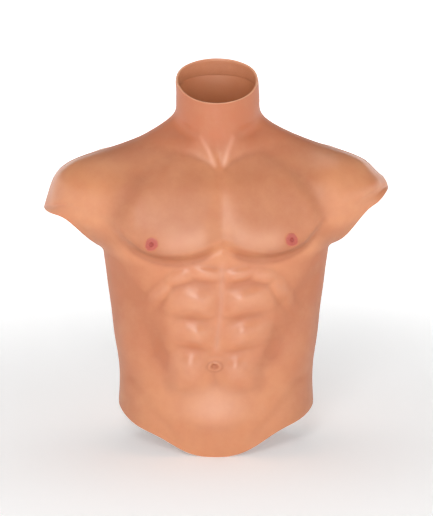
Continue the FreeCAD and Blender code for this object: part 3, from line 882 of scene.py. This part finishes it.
def silicone(name, cast, tan_and_painted_shade, blush_and_painted_highlight, ruddy, inside=None, gloss=0.28, depth=1.0):
    """Cast silicone: its colours, plus tones, painted shade and painted highlight from the masks.
    """
    material, tree, shader = new_finish(name)
    texture = add(tree, "ShaderNodeGroup", node_tree=SKIN_TEXTURE)
    dust = add(tree, "ShaderNodeGroup", {"Amount": 0.12}, node_tree=DUST)
    masks = add(tree, "ShaderNodeVertexColor", layer_name="tone_and_painted_light")
    split = add(tree, "ShaderNodeSeparateColor", {"Color": masks.outputs["Color"]})
    uneven = maths(tree, "ADD", 1.0, maths(tree, "MULTIPLY", texture.outputs["Mottle"], 1.3))
    skin = cast
    # Red: tan and painted shade; green: painted highlight; blue: a ruddy tone.
    for mask, shade in (("Red", tan_and_painted_shade), ("Green", blush_and_painted_highlight), ("Blue", ruddy)):
        amount = maths(tree, "MULTIPLY", split.outputs[mask], uneven, True)
        skin = mix(tree, amount, skin, shade)
    if inside is not None:
        # The inner face in painted shade, darker lower down, and a paler cut edge.
        within = add(tree, "ShaderNodeVertexColor", layer_name="inside")
        parts = add(tree, "ShaderNodeSeparateColor", {"Color": within.outputs["Color"]})
        wall = mix(tree, parts.outputs["Green"], inside[0], inside[1])
        skin = mix(tree, parts.outputs["Red"], skin, wall)
        skin = mix(tree, maths(tree, "MULTIPLY", parts.outputs["Blue"], 0.85), skin, inside[2])
    warm = maths(tree, "ADD", texture.outputs["Mottle"], 0.12, True)
    skin = mix(tree, warm, skin, ruddy)
    dusted = maths(tree, "MULTIPLY", dust.outputs["Dust"], 0.5)
    skin = mix(tree, dusted, skin, DUST_COLOUR)
    rough = maths(tree, "ADD", gloss, maths(tree, "MULTIPLY", texture.outputs["Pores"], 0.07))
    rough = maths(tree, "ADD", rough, maths(tree, "MULTIPLY", dust.outputs["Dust"], 0.6))
    rough = maths(tree, "ADD", rough, maths(tree, "MULTIPLY", split.outputs["Red"], 0.26))
    swell = maths(tree, "MULTIPLY", texture.outputs["Waves"], 3.5)
    height = maths(tree, "ADD", texture.outputs["Pores"], swell)
    bump = add(tree, "ShaderNodeBump", {
        "Height": height, "Strength": 0.35, "Distance": 0.00022 * depth,
    })
    feed(tree, shader, {
        "Base Color": skin, "Roughness": rough, "Normal": bump.outputs["Normal"],
        "Specular IOR Level": 0.42, "Coat Weight": 0.08, "Coat Roughness": 0.3,
        "Subsurface Weight": 0.12, "Subsurface Radius": (1.0, 0.45, 0.25),
        "Subsurface Scale": 0.004,
    })
    return material


def chart(*rows):
    return [colour(*row) for row in rows]


# Cast colour, then tan (painted shade on the skins), blush (painted highlight) and a ruddy tone.
SKIN_SHADES = chart((212, 143, 102), (180, 114, 80), (234, 178, 149), (196, 116, 80))
AREOLA_SHADES = chart((184, 88, 74), (160, 64, 56), (204, 120, 92), (176, 80, 68))
LINING_SHADES = chart((202, 136, 100), (178, 110, 78), (214, 152, 118), (188, 116, 82))
SEAM_SHADES = chart((196, 118, 88), (176, 98, 72), (212, 140, 110), (184, 104, 78))
# The inside's upper wall, its lower wall darker as painted shade, and its cut edge.
INSIDE = chart((204, 134, 94), (188, 112, 72), (226, 166, 130))
front_silicone = silicone("front_silicone", *SKIN_SHADES, INSIDE)
back_silicone = silicone("back_silicone", *SKIN_SHADES, INSIDE)
areola_silicone = silicone("areola_silicone", *AREOLA_SHADES, depth=2.0)
lining_silicone = silicone("lining_silicone", *LINING_SHADES, gloss=0.5)
seam_silicone = silicone("seam_silicone", *SEAM_SHADES, gloss=0.34, depth=2.5)
front_skin.data.materials.append(front_silicone)
back_skin.data.materials.append(back_silicone)
print("silicones:", [m.name for m in bpy.data.materials if "silicone" in m.name])

# %% [markdown]
# ## Areolae and nipples
# The real ones are red-brown silicone set in shallow pockets. A texture could stand for them,
# but the nipple casts a small shadow and the areola has tiny bumps. So each is a closed round
# body here, and Geometry Nodes scatters the bumps from a fixed seed.


# %% Geometry Nodes helpers
def new_nodes(name, inputs):
    """An empty Geometry Nodes tree with the named inputs."""
    geometry = ("Geometry", "Geometry")
    return group(name, [(*geometry, None), *inputs], [geometry], "GeometryNodeTree")


def grow(piece, tree, values):
    """Runs a tree on a piece and keeps the result as its plain mesh."""
    modifier = piece.modifiers.new(tree.name, "NODES")
    modifier.node_group = tree
    for item in tree.interface.items_tree:
        if item.item_type == "SOCKET" and item.in_out == "INPUT" and item.name in values:
            modifier[item.identifier] = values[item.name]
    seen = bpy.context.evaluated_depsgraph_get()
    made = bpy.data.meshes.new_from_object(piece.evaluated_get(seen))
    piece.modifiers.remove(modifier)
    piece.data = made
    made.name = piece.name
    return piece


def end_tree(tree, given, out, geometry, smooth=True):
    """Ends a tree with real meshes in the given finish."""
    made = add(tree, "GeometryNodeRealizeInstances", {"Geometry": geometry})
    if smooth:
        made = add(tree, "GeometryNodeSetShadeSmooth", {"Geometry": made.outputs["Geometry"]})
    dressed = add(tree, "GeometryNodeSetMaterial", {
        "Geometry": made.outputs["Geometry"], "Material": given.outputs["Finish"],
    })
    tree.links.new(dressed.outputs["Geometry"], out.inputs["Geometry"])
    return tree


# %% The tree that scatters bumps
def build_bumps():
    tree, given, out = new_nodes("areola bumps", [
        ("Bump Radius", "Float", 0.0004), ("Per Square Metre", "Float", 1e5),
        ("Seed", "Int", 1), ("Finish", "Material", None),
    ])
    faces = add(tree, "GeometryNodeInputNamedAttribute", {"Name": "bumpy"}, data_type="BOOLEAN")
    spots = add(tree, "GeometryNodeDistributePointsOnFaces", {
        "Mesh": given.outputs["Geometry"], "Selection": faces.outputs["Attribute"],
        "Density": given.outputs["Per Square Metre"], "Seed": given.outputs["Seed"],
    })
    dome = add(tree, "GeometryNodeMeshIcoSphere", {
        "Radius": given.outputs["Bump Radius"], "Subdivisions": 2,
    })
    size = add(tree, "FunctionNodeRandomValue", {"Seed": given.outputs["Seed"]}, data_type="FLOAT")
    size.inputs[2].default_value, size.inputs[3].default_value = 0.6, 1.3
    set_on = add(tree, "GeometryNodeInstanceOnPoints", {
        "Points": spots.outputs["Points"], "Instance": dome.outputs["Mesh"],
        "Rotation": spots.outputs["Rotation"], "Scale": size.outputs[1],
    })
    joined = add(tree, "GeometryNodeJoinGeometry")
    tree.links.new(set_on.outputs["Instances"], joined.inputs["Geometry"])
    tree.links.new(given.outputs["Geometry"], joined.inputs["Geometry"])
    return end_tree(tree, given, out, joined.outputs["Geometry"])


AREOLA_BUMPS = build_bumps()


# %% One areola with its nipple
NIPPLE_PROUD, SPOKES = 2.6, 64
BUMPY_FROM, BUMPY_TO = 4.2, 8.6
# Rings from the nipple's tip outwards, then back under the piece: radius and height.
PROFILE = [
    (0.0, NIPPLE_PROUD - 0.25), (0.7, NIPPLE_PROUD - 0.12), (1.4, NIPPLE_PROUD),
    (2.1, NIPPLE_PROUD - 0.12), (2.7, NIPPLE_PROUD - 0.6), (3.0, NIPPLE_PROUD - 1.3),
    (3.2, 0.95), (3.7, 0.6), (4.5, 0.52), (5.4, 0.56), (6.3, 0.58), (7.2, 0.52),
    (8.0, 0.42), (8.7, 0.3), (9.2, 0.17), (9.5, 0.06),
]
UNDERSIDE = [
    (9.3, -0.05), (8.6, -0.12), (7.4, -0.5), (6.0, -0.95), (4.6, -1.1), (2.2, -1.1), (0.0, -1.1),
]


def areola(name, x, z, seed):
    """A closed round body on the chest, from rings about the nipple."""
    turns = np.linspace(0, 2 * math.pi, SPOKES, endpoint=False)
    rings = np.array(PROFILE + UNDERSIDE)
    radius, height = np.repeat(rings[:, :1], SPOKES, 1), np.repeat(rings[:, 1:], SPOKES, 1)
    waver = 1 + 0.035 * np.sin(3 * turns + seed) + 0.02 * np.sin(7 * turns + 2 * seed)
    px, pz = x + radius * waver * np.cos(turns), z + radius * waver * np.sin(turns)
    wrinkles = 0.07 * np.sin(9 * turns + seed) * (radius < 3.2) * (radius > 0.5)
    u, v = find("front", px, pz)
    base = surface("front", u, v)
    lift = height_over("front", u, v, base) + height + wrinkles
    points = settle(base + outward("front", u, v) * lift[..., None]) * MM
    piece = make_piece(name, points, grid_faces(len(rings), SPOKES, True), flip=True)
    deep, edge = 1 - step(2.0, 4.2, radius), step(7.0, 9.6, radius) * 0.8
    paint(piece, "tone_and_painted_light", np.stack([deep, edge, 0 * edge], -1).reshape(-1, 3))
    close_poles(piece)
    centre = np.mean(points[len(PROFILE) - 1], 0)
    bumpy = piece.data.attributes.new("bumpy", "BOOLEAN", "FACE")
    for face in piece.data.polygons:
        away = (np.array(face.center) - centre) / MM
        in_ring = BUMPY_FROM < np.hypot(away[0], away[2]) < BUMPY_TO
        bumpy.data[face.index].value = bool(face.normal.y < -0.3 and in_ring)
    return grow(piece, AREOLA_BUMPS, {
        "Bump Radius": 0.00042, "Per Square Metre": 130000.0, "Seed": seed,
        "Finish": areola_silicone,
    })


left_areola = areola("left_areola", *NIPPLES["left"], 3)
right_areola = areola("right_areola", *NIPPLES["right"], 8)
print("areolae have", [len(a.data.polygons) for a in (left_areola, right_areola)], "faces")

# %% [markdown]
# ## Reinforcing tapes
# Inside the hem, the sleeves and the neck a gauze tape keeps the edge from tearing. It could be
# a flat band with a weave in its bump. Its threads show through the silicone, though, so here
# Geometry Nodes lays a real thread on every grid line of a thin silicone band.


# %% The tree that lays gauze threads
def build_gauze_threads():
    tree, given, out = new_nodes("gauze threads", [
        ("Thread Radius", "Float", 0.0002), ("Waver", "Float", 0.0004),
        ("Seed", "Int", 1), ("Finish", "Material", None),
    ])
    noise = add(tree, "ShaderNodeTexNoise", {
        "Scale": 180.0, "W": given.outputs["Seed"],
    }, noise_dimensions="4D")
    centred = add(tree, "ShaderNodeVectorMath", {
        0: noise.outputs["Color"], 1: (0.5, 0.5, 0.5),
    }, operation="SUBTRACT")
    shift = add(tree, "ShaderNodeVectorMath", {
        0: centred.outputs[0], "Scale": given.outputs["Waver"],
    }, operation="SCALE")
    moved = add(tree, "GeometryNodeSetPosition", {
        "Geometry": given.outputs["Geometry"], "Offset": shift.outputs[0],
    })
    lines = add(tree, "GeometryNodeMeshToCurve", {"Mesh": moved.outputs["Geometry"]})
    section = add(tree, "GeometryNodeCurvePrimitiveCircle", {
        "Resolution": 4, "Radius": given.outputs["Thread Radius"],
    })
    threads = add(tree, "GeometryNodeCurveToMesh", {
        "Curve": lines.outputs["Curve"], "Profile Curve": section.outputs["Curve"],
        "Fill Caps": True,
    })
    return end_tree(tree, given, out, threads.outputs["Mesh"], smooth=False)


GAUZE_THREADS = build_gauze_threads()


# %% Gauze soaked in silicone
def build_gauze():
    """Fibres in colour and bump, dull where dust lies."""
    material, tree, shader = new_finish("gauze")
    texture = add(tree, "ShaderNodeGroup", {"Pore Size": 0.0009}, node_tree=SKIN_TEXTURE)
    dust = add(tree, "ShaderNodeGroup", node_tree=DUST)
    place = add(tree, "ShaderNodeTexCoord").outputs["Object"]
    fibre = add(tree, "ShaderNodeTexNoise", {"Vector": place, "Scale": 900.0, "Detail": 3.0})
    mottled = maths(tree, "MULTIPLY", texture.outputs["Mottle"], 1.6)
    mottled = maths(tree, "ADD", mottled, 0.45, True)
    tone = mix(tree, mottled, colour(190, 116, 76), colour(204, 132, 92))
    fuzz = maths(tree, "MULTIPLY", fibre.outputs["Fac"], 0.35)
    tone = mix(tree, fuzz, tone, colour(208, 146, 108))
    dulled = maths(tree, "MULTIPLY", dust.outputs["Dust"], 0.8)
    bump = add(tree, "ShaderNodeBump", {
        "Height": fibre.outputs["Fac"], "Strength": 0.5, "Distance": 0.0002,
    })
    feed(tree, shader, {
        "Base Color": tone, "Roughness": maths(tree, "ADD", 0.55, dulled, True),
        "Normal": bump.outputs["Normal"],
    })
    return material


gauze = build_gauze()

# %% Bands of silicone with gauze in them
TAPE_WALL, TAPE_ROWS = 1.0, 13


def taped_band(name, outer, inner, seed, flip):
    """A thin silicone band with threads standing a little proud of its inner face."""
    band = ring_band(name, outer, inner, flip)
    threads = make_piece(name + "_threads", inner, grid_faces(*inner.shape[:2], True))
    grow(threads, GAUZE_THREADS, {
        "Thread Radius": 0.00022, "Waver": 0.0004, "Seed": seed, "Finish": gauze,
    })
    band.data.materials.append(gauze)
    joined = bmesh.new()
    joined.from_mesh(band.data)
    joined.from_mesh(threads.data)
    joined.to_mesh(band.data)
    joined.free()
    bpy.data.objects.remove(threads)
    return band


def round_torso(along, depth, columns=220):
    """A row all the way round the torso, over the front and back again behind."""
    half = np.linspace(-1, 1, columns, endpoint=False)
    rows = np.asarray(along)[:, None]
    return np.concatenate([layer("front", half, rows, depth), layer("back", -half, rows, depth)], 1)


def edge_tape(name, low, high, columns, seed):
    """A tape all round the torso, brushed thin at both its edges."""
    rows = np.linspace(low, high, TAPE_ROWS)
    feather = np.sin(np.linspace(0, math.pi, TAPE_ROWS))[:, None]
    inner = round_torso(rows, SKIN_WALL - 0.08 + (TAPE_WALL + 0.2) * feather, columns)
    outer = round_torso(rows, SKIN_WALL - 0.3 + 0.4 * feather, columns)
    return taped_band(name, outer, inner, seed, False)


hem_tape = edge_tape("hem_tape_piece", 0.03, 0.22, 220, 4)
neck_tape = edge_tape("neck_tape_piece", 9.5, 9.95, 110, 5)


# %% The tapes round the arm openings
TAPE_WIDTH, ARMHOLE_SPEED, ARMHOLE_GLUE, TAPE_OVER_SEAM = 14, 170, 1.1, 0.28


def armhole_tape(name, sign, seed):
    """A ring inside one sleeve's edge, over the front and back behind."""
    turn = np.linspace(0, 1, 90, endpoint=False)
    share = np.linspace(0, 1, 6)[:, None]
    glued = SKIN_WALL + ARMHOLE_GLUE
    halves = {glued: [], glued + TAPE_WALL: []}
    for side, run in (("front", turn), ("back", 1 - turn)):
        angle = math.pi * step(0, 1, run)
        edge_u, edge_v = np.ones_like(run), 3 + 2 * run
        deep_u = 1 - TAPE_WIDTH / ARMHOLE_SPEED * np.sin(angle)
        deep_v = 4 - (1 + TAPE_OVER_SEAM) * np.cos(angle)
        u, v = edge_u + (deep_u - edge_u) * share, edge_v + (deep_v - edge_v) * share
        for depth, grids in halves.items():
            grids.append(layer(side, sign * u, v, depth))
    outer, inner = (np.concatenate(grids, 1) for grids in halves.values())
    return taped_band(name, outer, inner, seed, sign > 0)


left_armhole_tape = armhole_tape("left_armhole_tape_piece", 1, 6)
right_armhole_tape = armhole_tape("right_armhole_tape_piece", -1, 7)
for tape in (hem_tape, neck_tape, left_armhole_tape, right_armhole_tape):
    print(tape.name, len(tape.data.polygons), "faces")

# %% [markdown]
# ## Bonding strips and seam beads
# Front and back are glued with a brushed strip of silicone inside each seam, and a little glue
# is squeezed out as a bead outside. The strip is a sheet like the others, with a wandering
# edge from the brush. The bead follows the seam, so Geometry Nodes sweeps it along that path.

# %% Strips brushed inside the seams
STRIP_WIDTH, STRIP_WALL = 18, 1.2
SIDE_PULLS = {side: spline(column(f"{side}_pull")) for side in SIDE_SIGN}


def bonding_strip(name, sign, low, high):
    """A strip over the seam from low to high, brushed on by hand."""
    along = np.linspace(low, high, 90)[:, None]
    brush = 1 + 0.08 * np.sin(along * 23 + sign) + 0.05 * np.sin(along * 51 + 2 * sign)
    reach = np.linspace(1, 0, 8, endpoint=False)
    grids = []
    for depth in (UNDER_SKIN, UNDER_SKIN + STRIP_WALL):
        halves = []
        for side, share in (("front", reach), ("back", np.append(0, reach[::-1]))):
            half = STRIP_WIDTH / 2 / (3 * SIDE_PULLS[side](along)) * brush
            ridge = 0.25 * np.sin(along * 140 + share * 9) * (depth > UNDER_SKIN)
            deep = depth + ridge * (1 - share)
            halves.append(layer(side, sign * (1 - half * share), along, deep))
        grids.append(np.concatenate(halves, 1))
    strip = shell(name, grids[0], grids[1], 0.0004, flip=(sign < 0), steps=3)
    strip.data.materials.append(seam_silicone)
    return strip


strips = {}
for seam, low, high in (("side", 0.3, 2.55), ("shoulder", 5.5, 9.35)):
    for hand, sign in (("left", 1), ("right", -1)):
        node = f"{hand}_{seam}_strip"
        strips[node] = bonding_strip(node + "_piece", sign, low, high)


# %% The tree that sweeps a bead of glue
def build_glue_bead():
    tree, given, out = new_nodes("glue bead", [
        ("Bead Radius", "Float", 0.0008), ("Spacing", "Float", 0.002), ("Unevenness", "Float", 0.5),
        ("Seed", "Int", 1), ("Finish", "Material", None),
    ])
    line = add(tree, "GeometryNodeMeshToCurve", {"Mesh": given.outputs["Geometry"]})
    even = add(tree, "GeometryNodeResampleCurve", {
        "Curve": line.outputs["Curve"], "Length": given.outputs["Spacing"],
    }, mode="LENGTH")
    noise = add(tree, "ShaderNodeTexNoise", {
        "Scale": 130.0, "W": given.outputs["Seed"],
    }, noise_dimensions="4D")
    swell = maths(tree, "SUBTRACT", noise.outputs["Fac"], 0.5)
    swell = maths(tree, "MULTIPLY", swell, given.outputs["Unevenness"])
    radius = maths(tree, "ADD", swell, 1.0)
    radius = maths(tree, "MULTIPLY", radius, given.outputs["Bead Radius"])
    section = add(tree, "GeometryNodeCurvePrimitiveCircle", {"Resolution": 10, "Radius": 1.0})
    bead = add(tree, "GeometryNodeCurveToMesh", {
        "Curve": even.outputs["Curve"], "Profile Curve": section.outputs["Curve"],
        "Scale": radius, "Fill Caps": True,
    })
    return end_tree(tree, given, out, bead.outputs["Mesh"])


GLUE_BEAD = build_glue_bead()


def seam_bead(name, sign, low, high, seed):
    """A fine bead along the outside of a seam."""
    along = np.linspace(low, high, 120)
    points = layer("front", np.full_like(along, sign), along, 0.25)
    mesh = bpy.data.meshes.new(name)
    mesh.from_pydata(points.tolist(), [(i, i + 1) for i in range(len(points) - 1)], [])
    return grow(place_in_scene(name, mesh), GLUE_BEAD, {
        "Bead Radius": 0.0008, "Spacing": 0.002, "Unevenness": 0.6, "Seed": seed,
        "Finish": seam_silicone,
    })


seam_beads = [
    seam_bead("left_side_bead", 1, 0.02, 2.97, 1),
    seam_bead("right_side_bead", -1, 0.02, 2.97, 2),
    seam_bead("left_shoulder_bead", 1, 5.5, 9.98, 3),
    seam_bead("right_shoulder_bead", -1, 5.5, 9.98, 4),
]
print("beads have", [len(b.data.polygons) for b in seam_beads], "faces")

# %% [markdown]
# ## Filling pads
# Behind each muscle lies a soft pad of filling, thick in the middle and pinched at its edge.
# A cloth simulation could blow it up, but it is pressed between skin and lining and takes its
# shape from them. So its outer face follows the muscle above, its inner face is crowned, and
# small gathers run in from the pinched edge.

# %% Pad places and sizes, in design millimetres
PADS = {
    "chest": ((80, -78), (138, 112)),
    "rib_belly": ((31, -160), (52, 24)),
    "upper_belly": ((43, -202), (74, 46)),
    "middle_belly": ((41, -257), (70, 50)),
    "lower_belly": ((37, -314), (62, 50)),
    "groin": ((0, -374), (96, 58)),
}
PAD_ROUNDING, PAD_SHARE, PAD_POINTS = 0.3, 0.985, 61
FILLED_ACROSS, FILLED_FROM, FILLED_TO = 0.84, 0.3, 7.2
FILL = spline(column("fill"))


def fill_depth(across, along):
    """How thick the filling is behind the skin."""
    rest = 1 - (np.abs(across) / FILLED_ACROSS) ** 6
    low_end = step(0, 1, np.clip((along - FILLED_FROM) / 0.6, 0, 1))
    high_end = step(0, 1, np.clip((FILLED_TO - along) / 0.8, 0, 1))
    return FILL(along) * np.clip(rest, 0, 1) * low_end * high_end


def filling_pad(name, centre, size, sign, seed):
    """A cushion in skin coordinates: a following outer face and a crowned inner one."""
    a, b = np.meshgrid(*[np.linspace(-1, 1, PAD_POINTS)] * 2)
    x = sign * (centre[0] + size[0] / 2 * PAD_SHARE * a * np.sqrt(1 - PAD_ROUNDING * b**2))
    z = centre[1] + size[1] / 2 * PAD_SHARE * b * np.sqrt(1 - PAD_ROUNDING * a**2)
    u, v = find("front", x, z)
    crown = (1 - a**4) * (1 - b**4)
    rim = np.maximum(np.abs(a), np.abs(b))
    gathers = 0.35 * np.sin(26 * np.arctan2(b, a) + seed)
    gathers = np.abs(gathers * step(0.6, 0.95, rim) * (1 - step(0.96, 1.0, rim)))
    pinch = 1.1 * step(0.88, 1.0, rim)
    deep = UNDER_SKIN + fill_depth(u, v) * (0.3 + 0.7 * crown) - pinch * 0.6 - gathers

    def soften(height):
        return height * (1 - crown) * 0.5 + np.minimum(height, 0) * crown

    outer = layer("front", u, v, UNDER_SKIN + pinch + gathers)
    inner = layer("front", u, v, np.maximum(deep, UNDER_SKIN + pinch + 0.6), follow=soften)
    pad = shell(name, outer, inner, 0.0003, flip=(sign < 0), steps=4)
    pad.data.materials.append(filling)
    return pad


# %% The pads' own finish
def build_filling():
    """Pale soft wadding: long fibres in colour and bump, and a little yellowing."""
    material, tree, shader = new_finish("filling")
    texture = add(tree, "ShaderNodeGroup", {"Pore Size": 0.0012}, node_tree=SKIN_TEXTURE)
    dust = add(tree, "ShaderNodeGroup", node_tree=DUST)
    place = add(tree, "ShaderNodeTexCoord").outputs["Object"]
    stretched = add(tree, "ShaderNodeMapping", {
        "Vector": place, "Rotation": (0.3, 0.5, 0.7), "Scale": (60.0, 700.0, 420.0),
    })
    fibres = add(tree, "ShaderNodeTexNoise", {
        "Vector": stretched.outputs["Vector"], "Scale": 1.0, "Detail": 4.0, "Distortion": 1.2,
    })
    tone = mix(tree, fibres.outputs["Fac"], colour(222, 214, 198), colour(244, 240, 230))
    yellowed = maths(tree, "ADD", texture.outputs["Mottle"], 0.15, True)
    tone = mix(tree, yellowed, tone, colour(224, 200, 160))
    greyed = maths(tree, "MULTIPLY", dust.outputs["Dust"], 0.7)
    tone = mix(tree, greyed, tone, colour(190, 178, 160))
    pores = maths(tree, "MULTIPLY", texture.outputs["Pores"], 0.15)
    bump = add(tree, "ShaderNodeBump", {
        "Height": fibres.outputs["Fac"], "Strength": 0.7, "Distance": 0.0005,
    })
    feed(tree, shader, {
        "Base Color": tone, "Roughness": maths(tree, "ADD", 0.8, pores, True),
        "Normal": bump.outputs["Normal"], "Sheen Weight": 0.3,
    })
    return material


filling = build_filling()
pads = {}
for number, (muscle, (centre, size)) in enumerate(PADS.items()):
    for side_name, sign in (("left", 1), ("right", -1)) if centre[0] else (("", 1),):
        node = f"{side_name}_{muscle}_pad".strip("_")
        pads[node] = filling_pad(f"{node}_piece", centre, size, sign, number)
print("pads:", ", ".join(pads))

# %% [markdown]
# ## The lining
# A thin silicone sheet is brushed over all the pads and bonded round them. It hugs each pad
# and wrinkles between them. It is one more layer at its own depth, with wrinkles that run only
# inwards, so it never cuts a pad.

# %% Brushing on the lining
LINING_WALL = 1.0


def brushed_lining():
    across = np.linspace(-FILLED_ACROSS, FILLED_ACROSS, 130)
    along = np.linspace(FILLED_FROM, FILLED_TO, 210)[:, None]
    u, v = np.broadcast_arrays(across, along)
    wrinkle = np.sin(v * 17 + 2.2 * np.sin(u * 9)) * np.sin(u * 21 + 1.3 * np.sin(v * 5))
    hug = 0.9 * (0.5 + 0.5 * wrinkle) ** 2 * step(0.3, 0.8, v) * (1 - step(6.4, 7.1, v))
    depth = UNDER_SKIN + 0.3 + fill_depth(u, v) + hug

    def hollows(height):
        return np.minimum(height, 0)

    outer = layer("front", u, v, depth, follow=hollows)
    inner = layer("front", u, v, depth + LINING_WALL, follow=hollows)
    lining = shell("front_lining_piece", outer, inner, 0.0004, steps=3)
    lining.data.materials.append(lining_silicone)
    return lining


lining = brushed_lining()
print("the lining has", len(lining.data.polygons), "faces")

# %% [markdown]
# ## Riding on the body and replacing the solids
# Every piece rides on the one body, and stands in place of the imported solid that it shows.

# %% Riding and replacing
STANDS_FOR = {
    "front_skin": (front_skin, "front_silicone"),
    "back_skin": (back_skin, "back_silicone"),
    "left_nipple_inlay": (left_areola, "areola_silicone"),
    "right_nipple_inlay": (right_areola, "areola_silicone"),
    "front_lining": (lining, "lining_silicone"),
    "hem_tape": (hem_tape, "gauze"),
    "neck_tape": (neck_tape, "gauze"),
    "left_armhole_tape": (left_armhole_tape, "gauze"),
    "right_armhole_tape": (right_armhole_tape, "gauze"),
}
STANDS_FOR.update({node: (strip, "seam_silicone") for node, strip in strips.items()})
STANDS_FOR.update({node: (pad, "filling") for node, pad in pads.items()})
for node, (piece, slot) in STANDS_FOR.items():
    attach(piece, "root")
    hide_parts(node)
for bead in seam_beads:
    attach(bead, "root")
print(len(STANDS_FOR), "solids are shown by their own pieces")

# %% [markdown]
# ## Floor, light and camera
# A plain white surround and large soft lights, as in a catalogue studio. A paper sweep would
# show the torso from one side only. So this one is a wide round bowl: a flat floor that curves
# up into a low wall all round, and glows more the further it is from the torso.

# %% The white bowl
FLOOR_RADIUS, BOWL_BEND = 4.6, 2.2
WALL_RISES = (2.6, 3.2)


def white_bowl():
    """One smooth surface all round, closed at its middle and open above."""
    level = cad_low.z - 0.001
    rows = [(r, level) for r in np.linspace(0, FLOOR_RADIUS, 16)]
    for t in np.linspace(0.1, math.pi / 2, 12):
        rows.append((FLOOR_RADIUS + BOWL_BEND * math.sin(t), level + BOWL_BEND * (1 - math.cos(t))))
    rows += [(FLOOR_RADIUS + BOWL_BEND, level + rise) for rise in WALL_RISES]
    turns = np.linspace(0, 2 * math.pi, 96, endpoint=False)
    points = np.array([[(r * math.cos(t), r * math.sin(t), z) for t in turns] for r, z in rows])
    bowl = make_piece("white_bowl", points, grid_faces(*points.shape[:2], True))
    close_poles(bowl, solid=False)
    material, tree, shader = new_finish("bowl_glow")
    place = add(tree, "ShaderNodeTexCoord").outputs["Object"]
    away = add(tree, "ShaderNodeVectorMath", {0: place}, operation="LENGTH").outputs["Value"]
    far = add(tree, "ShaderNodeMapRange", {
        "Value": away, "From Min": 0.3, "From Max": 2.0,
    }, interpolation_type="SMOOTHSTEP")
    glow = mix(tree, far.outputs["Result"], (0.3, 0.3, 0.3, 1.0), (1.0, 1.0, 1.0, 1.0))
    # The bowl glows as painted light, dim near the torso and white further out, lighting the torso.
    feed(tree, shader, {
        "Emission Color": glow, "Emission Strength": 0.76,
        "Base Color": (0.9, 0.9, 0.9, 1), "Roughness": 0.9, "Specular IOR Level": 0.1,
    })
    bowl.data.materials.append(material)
    return bowl


white_bowl()


# %% Soft lights
def soft_light(name, place, aim, width, power):
    lamp = bpy.data.lights.new(name, "AREA")
    lamp.shape, lamp.size, lamp.energy = "DISK", width, power
    light = place_in_scene(name, lamp)
    light.location = place
    light.rotation_euler = (Vector(aim) - Vector(place)).to_track_quat("-Z", "Y").to_euler()


MIDDLE = (0.0, 0.0, -0.15)
soft_light("key", (-0.3, -2.45, 1.15), MIDDLE, 0.8, 24)
soft_light("fill", (1.9, -1.9, 0.5), MIDDLE, 1.6, 2)
soft_light("low_fill", (0.0, -2.6, -0.1), (0.0, 0.0, -0.3), 1.2, 2)
soft_light("top", (0.0, 0.5, 2.3), MIDDLE, 1.8, 11)
world = bpy.data.worlds.new("studio")
world.use_nodes = True
world.node_tree.nodes["Background"].inputs["Color"].default_value = (1, 1, 1, 1)
world.node_tree.nodes["Background"].inputs["Strength"].default_value = 0.14
bpy.context.scene.world = world
bpy.context.scene.view_settings.view_transform = "Standard"

# %% The camera
CAMERA_AIM, CAMERA_AWAY, CAMERA_RISE = Vector((0.001, 0.0, -0.149)), 2.4, math.radians(10)
view = bpy.data.cameras.new("catalogue_view")
view.lens, view.sensor_width, view.sensor_fit = 124.5, 36, "HORIZONTAL"
camera = place_in_scene("catalogue_view", view)
camera_way = Vector((0, -math.cos(CAMERA_RISE), math.sin(CAMERA_RISE)))
camera.location = CAMERA_AIM + CAMERA_AWAY * camera_way
camera.rotation_euler = (CAMERA_AIM - camera.location).to_track_quat("-Z", "Y").to_euler()
bpy.context.scene.camera = camera
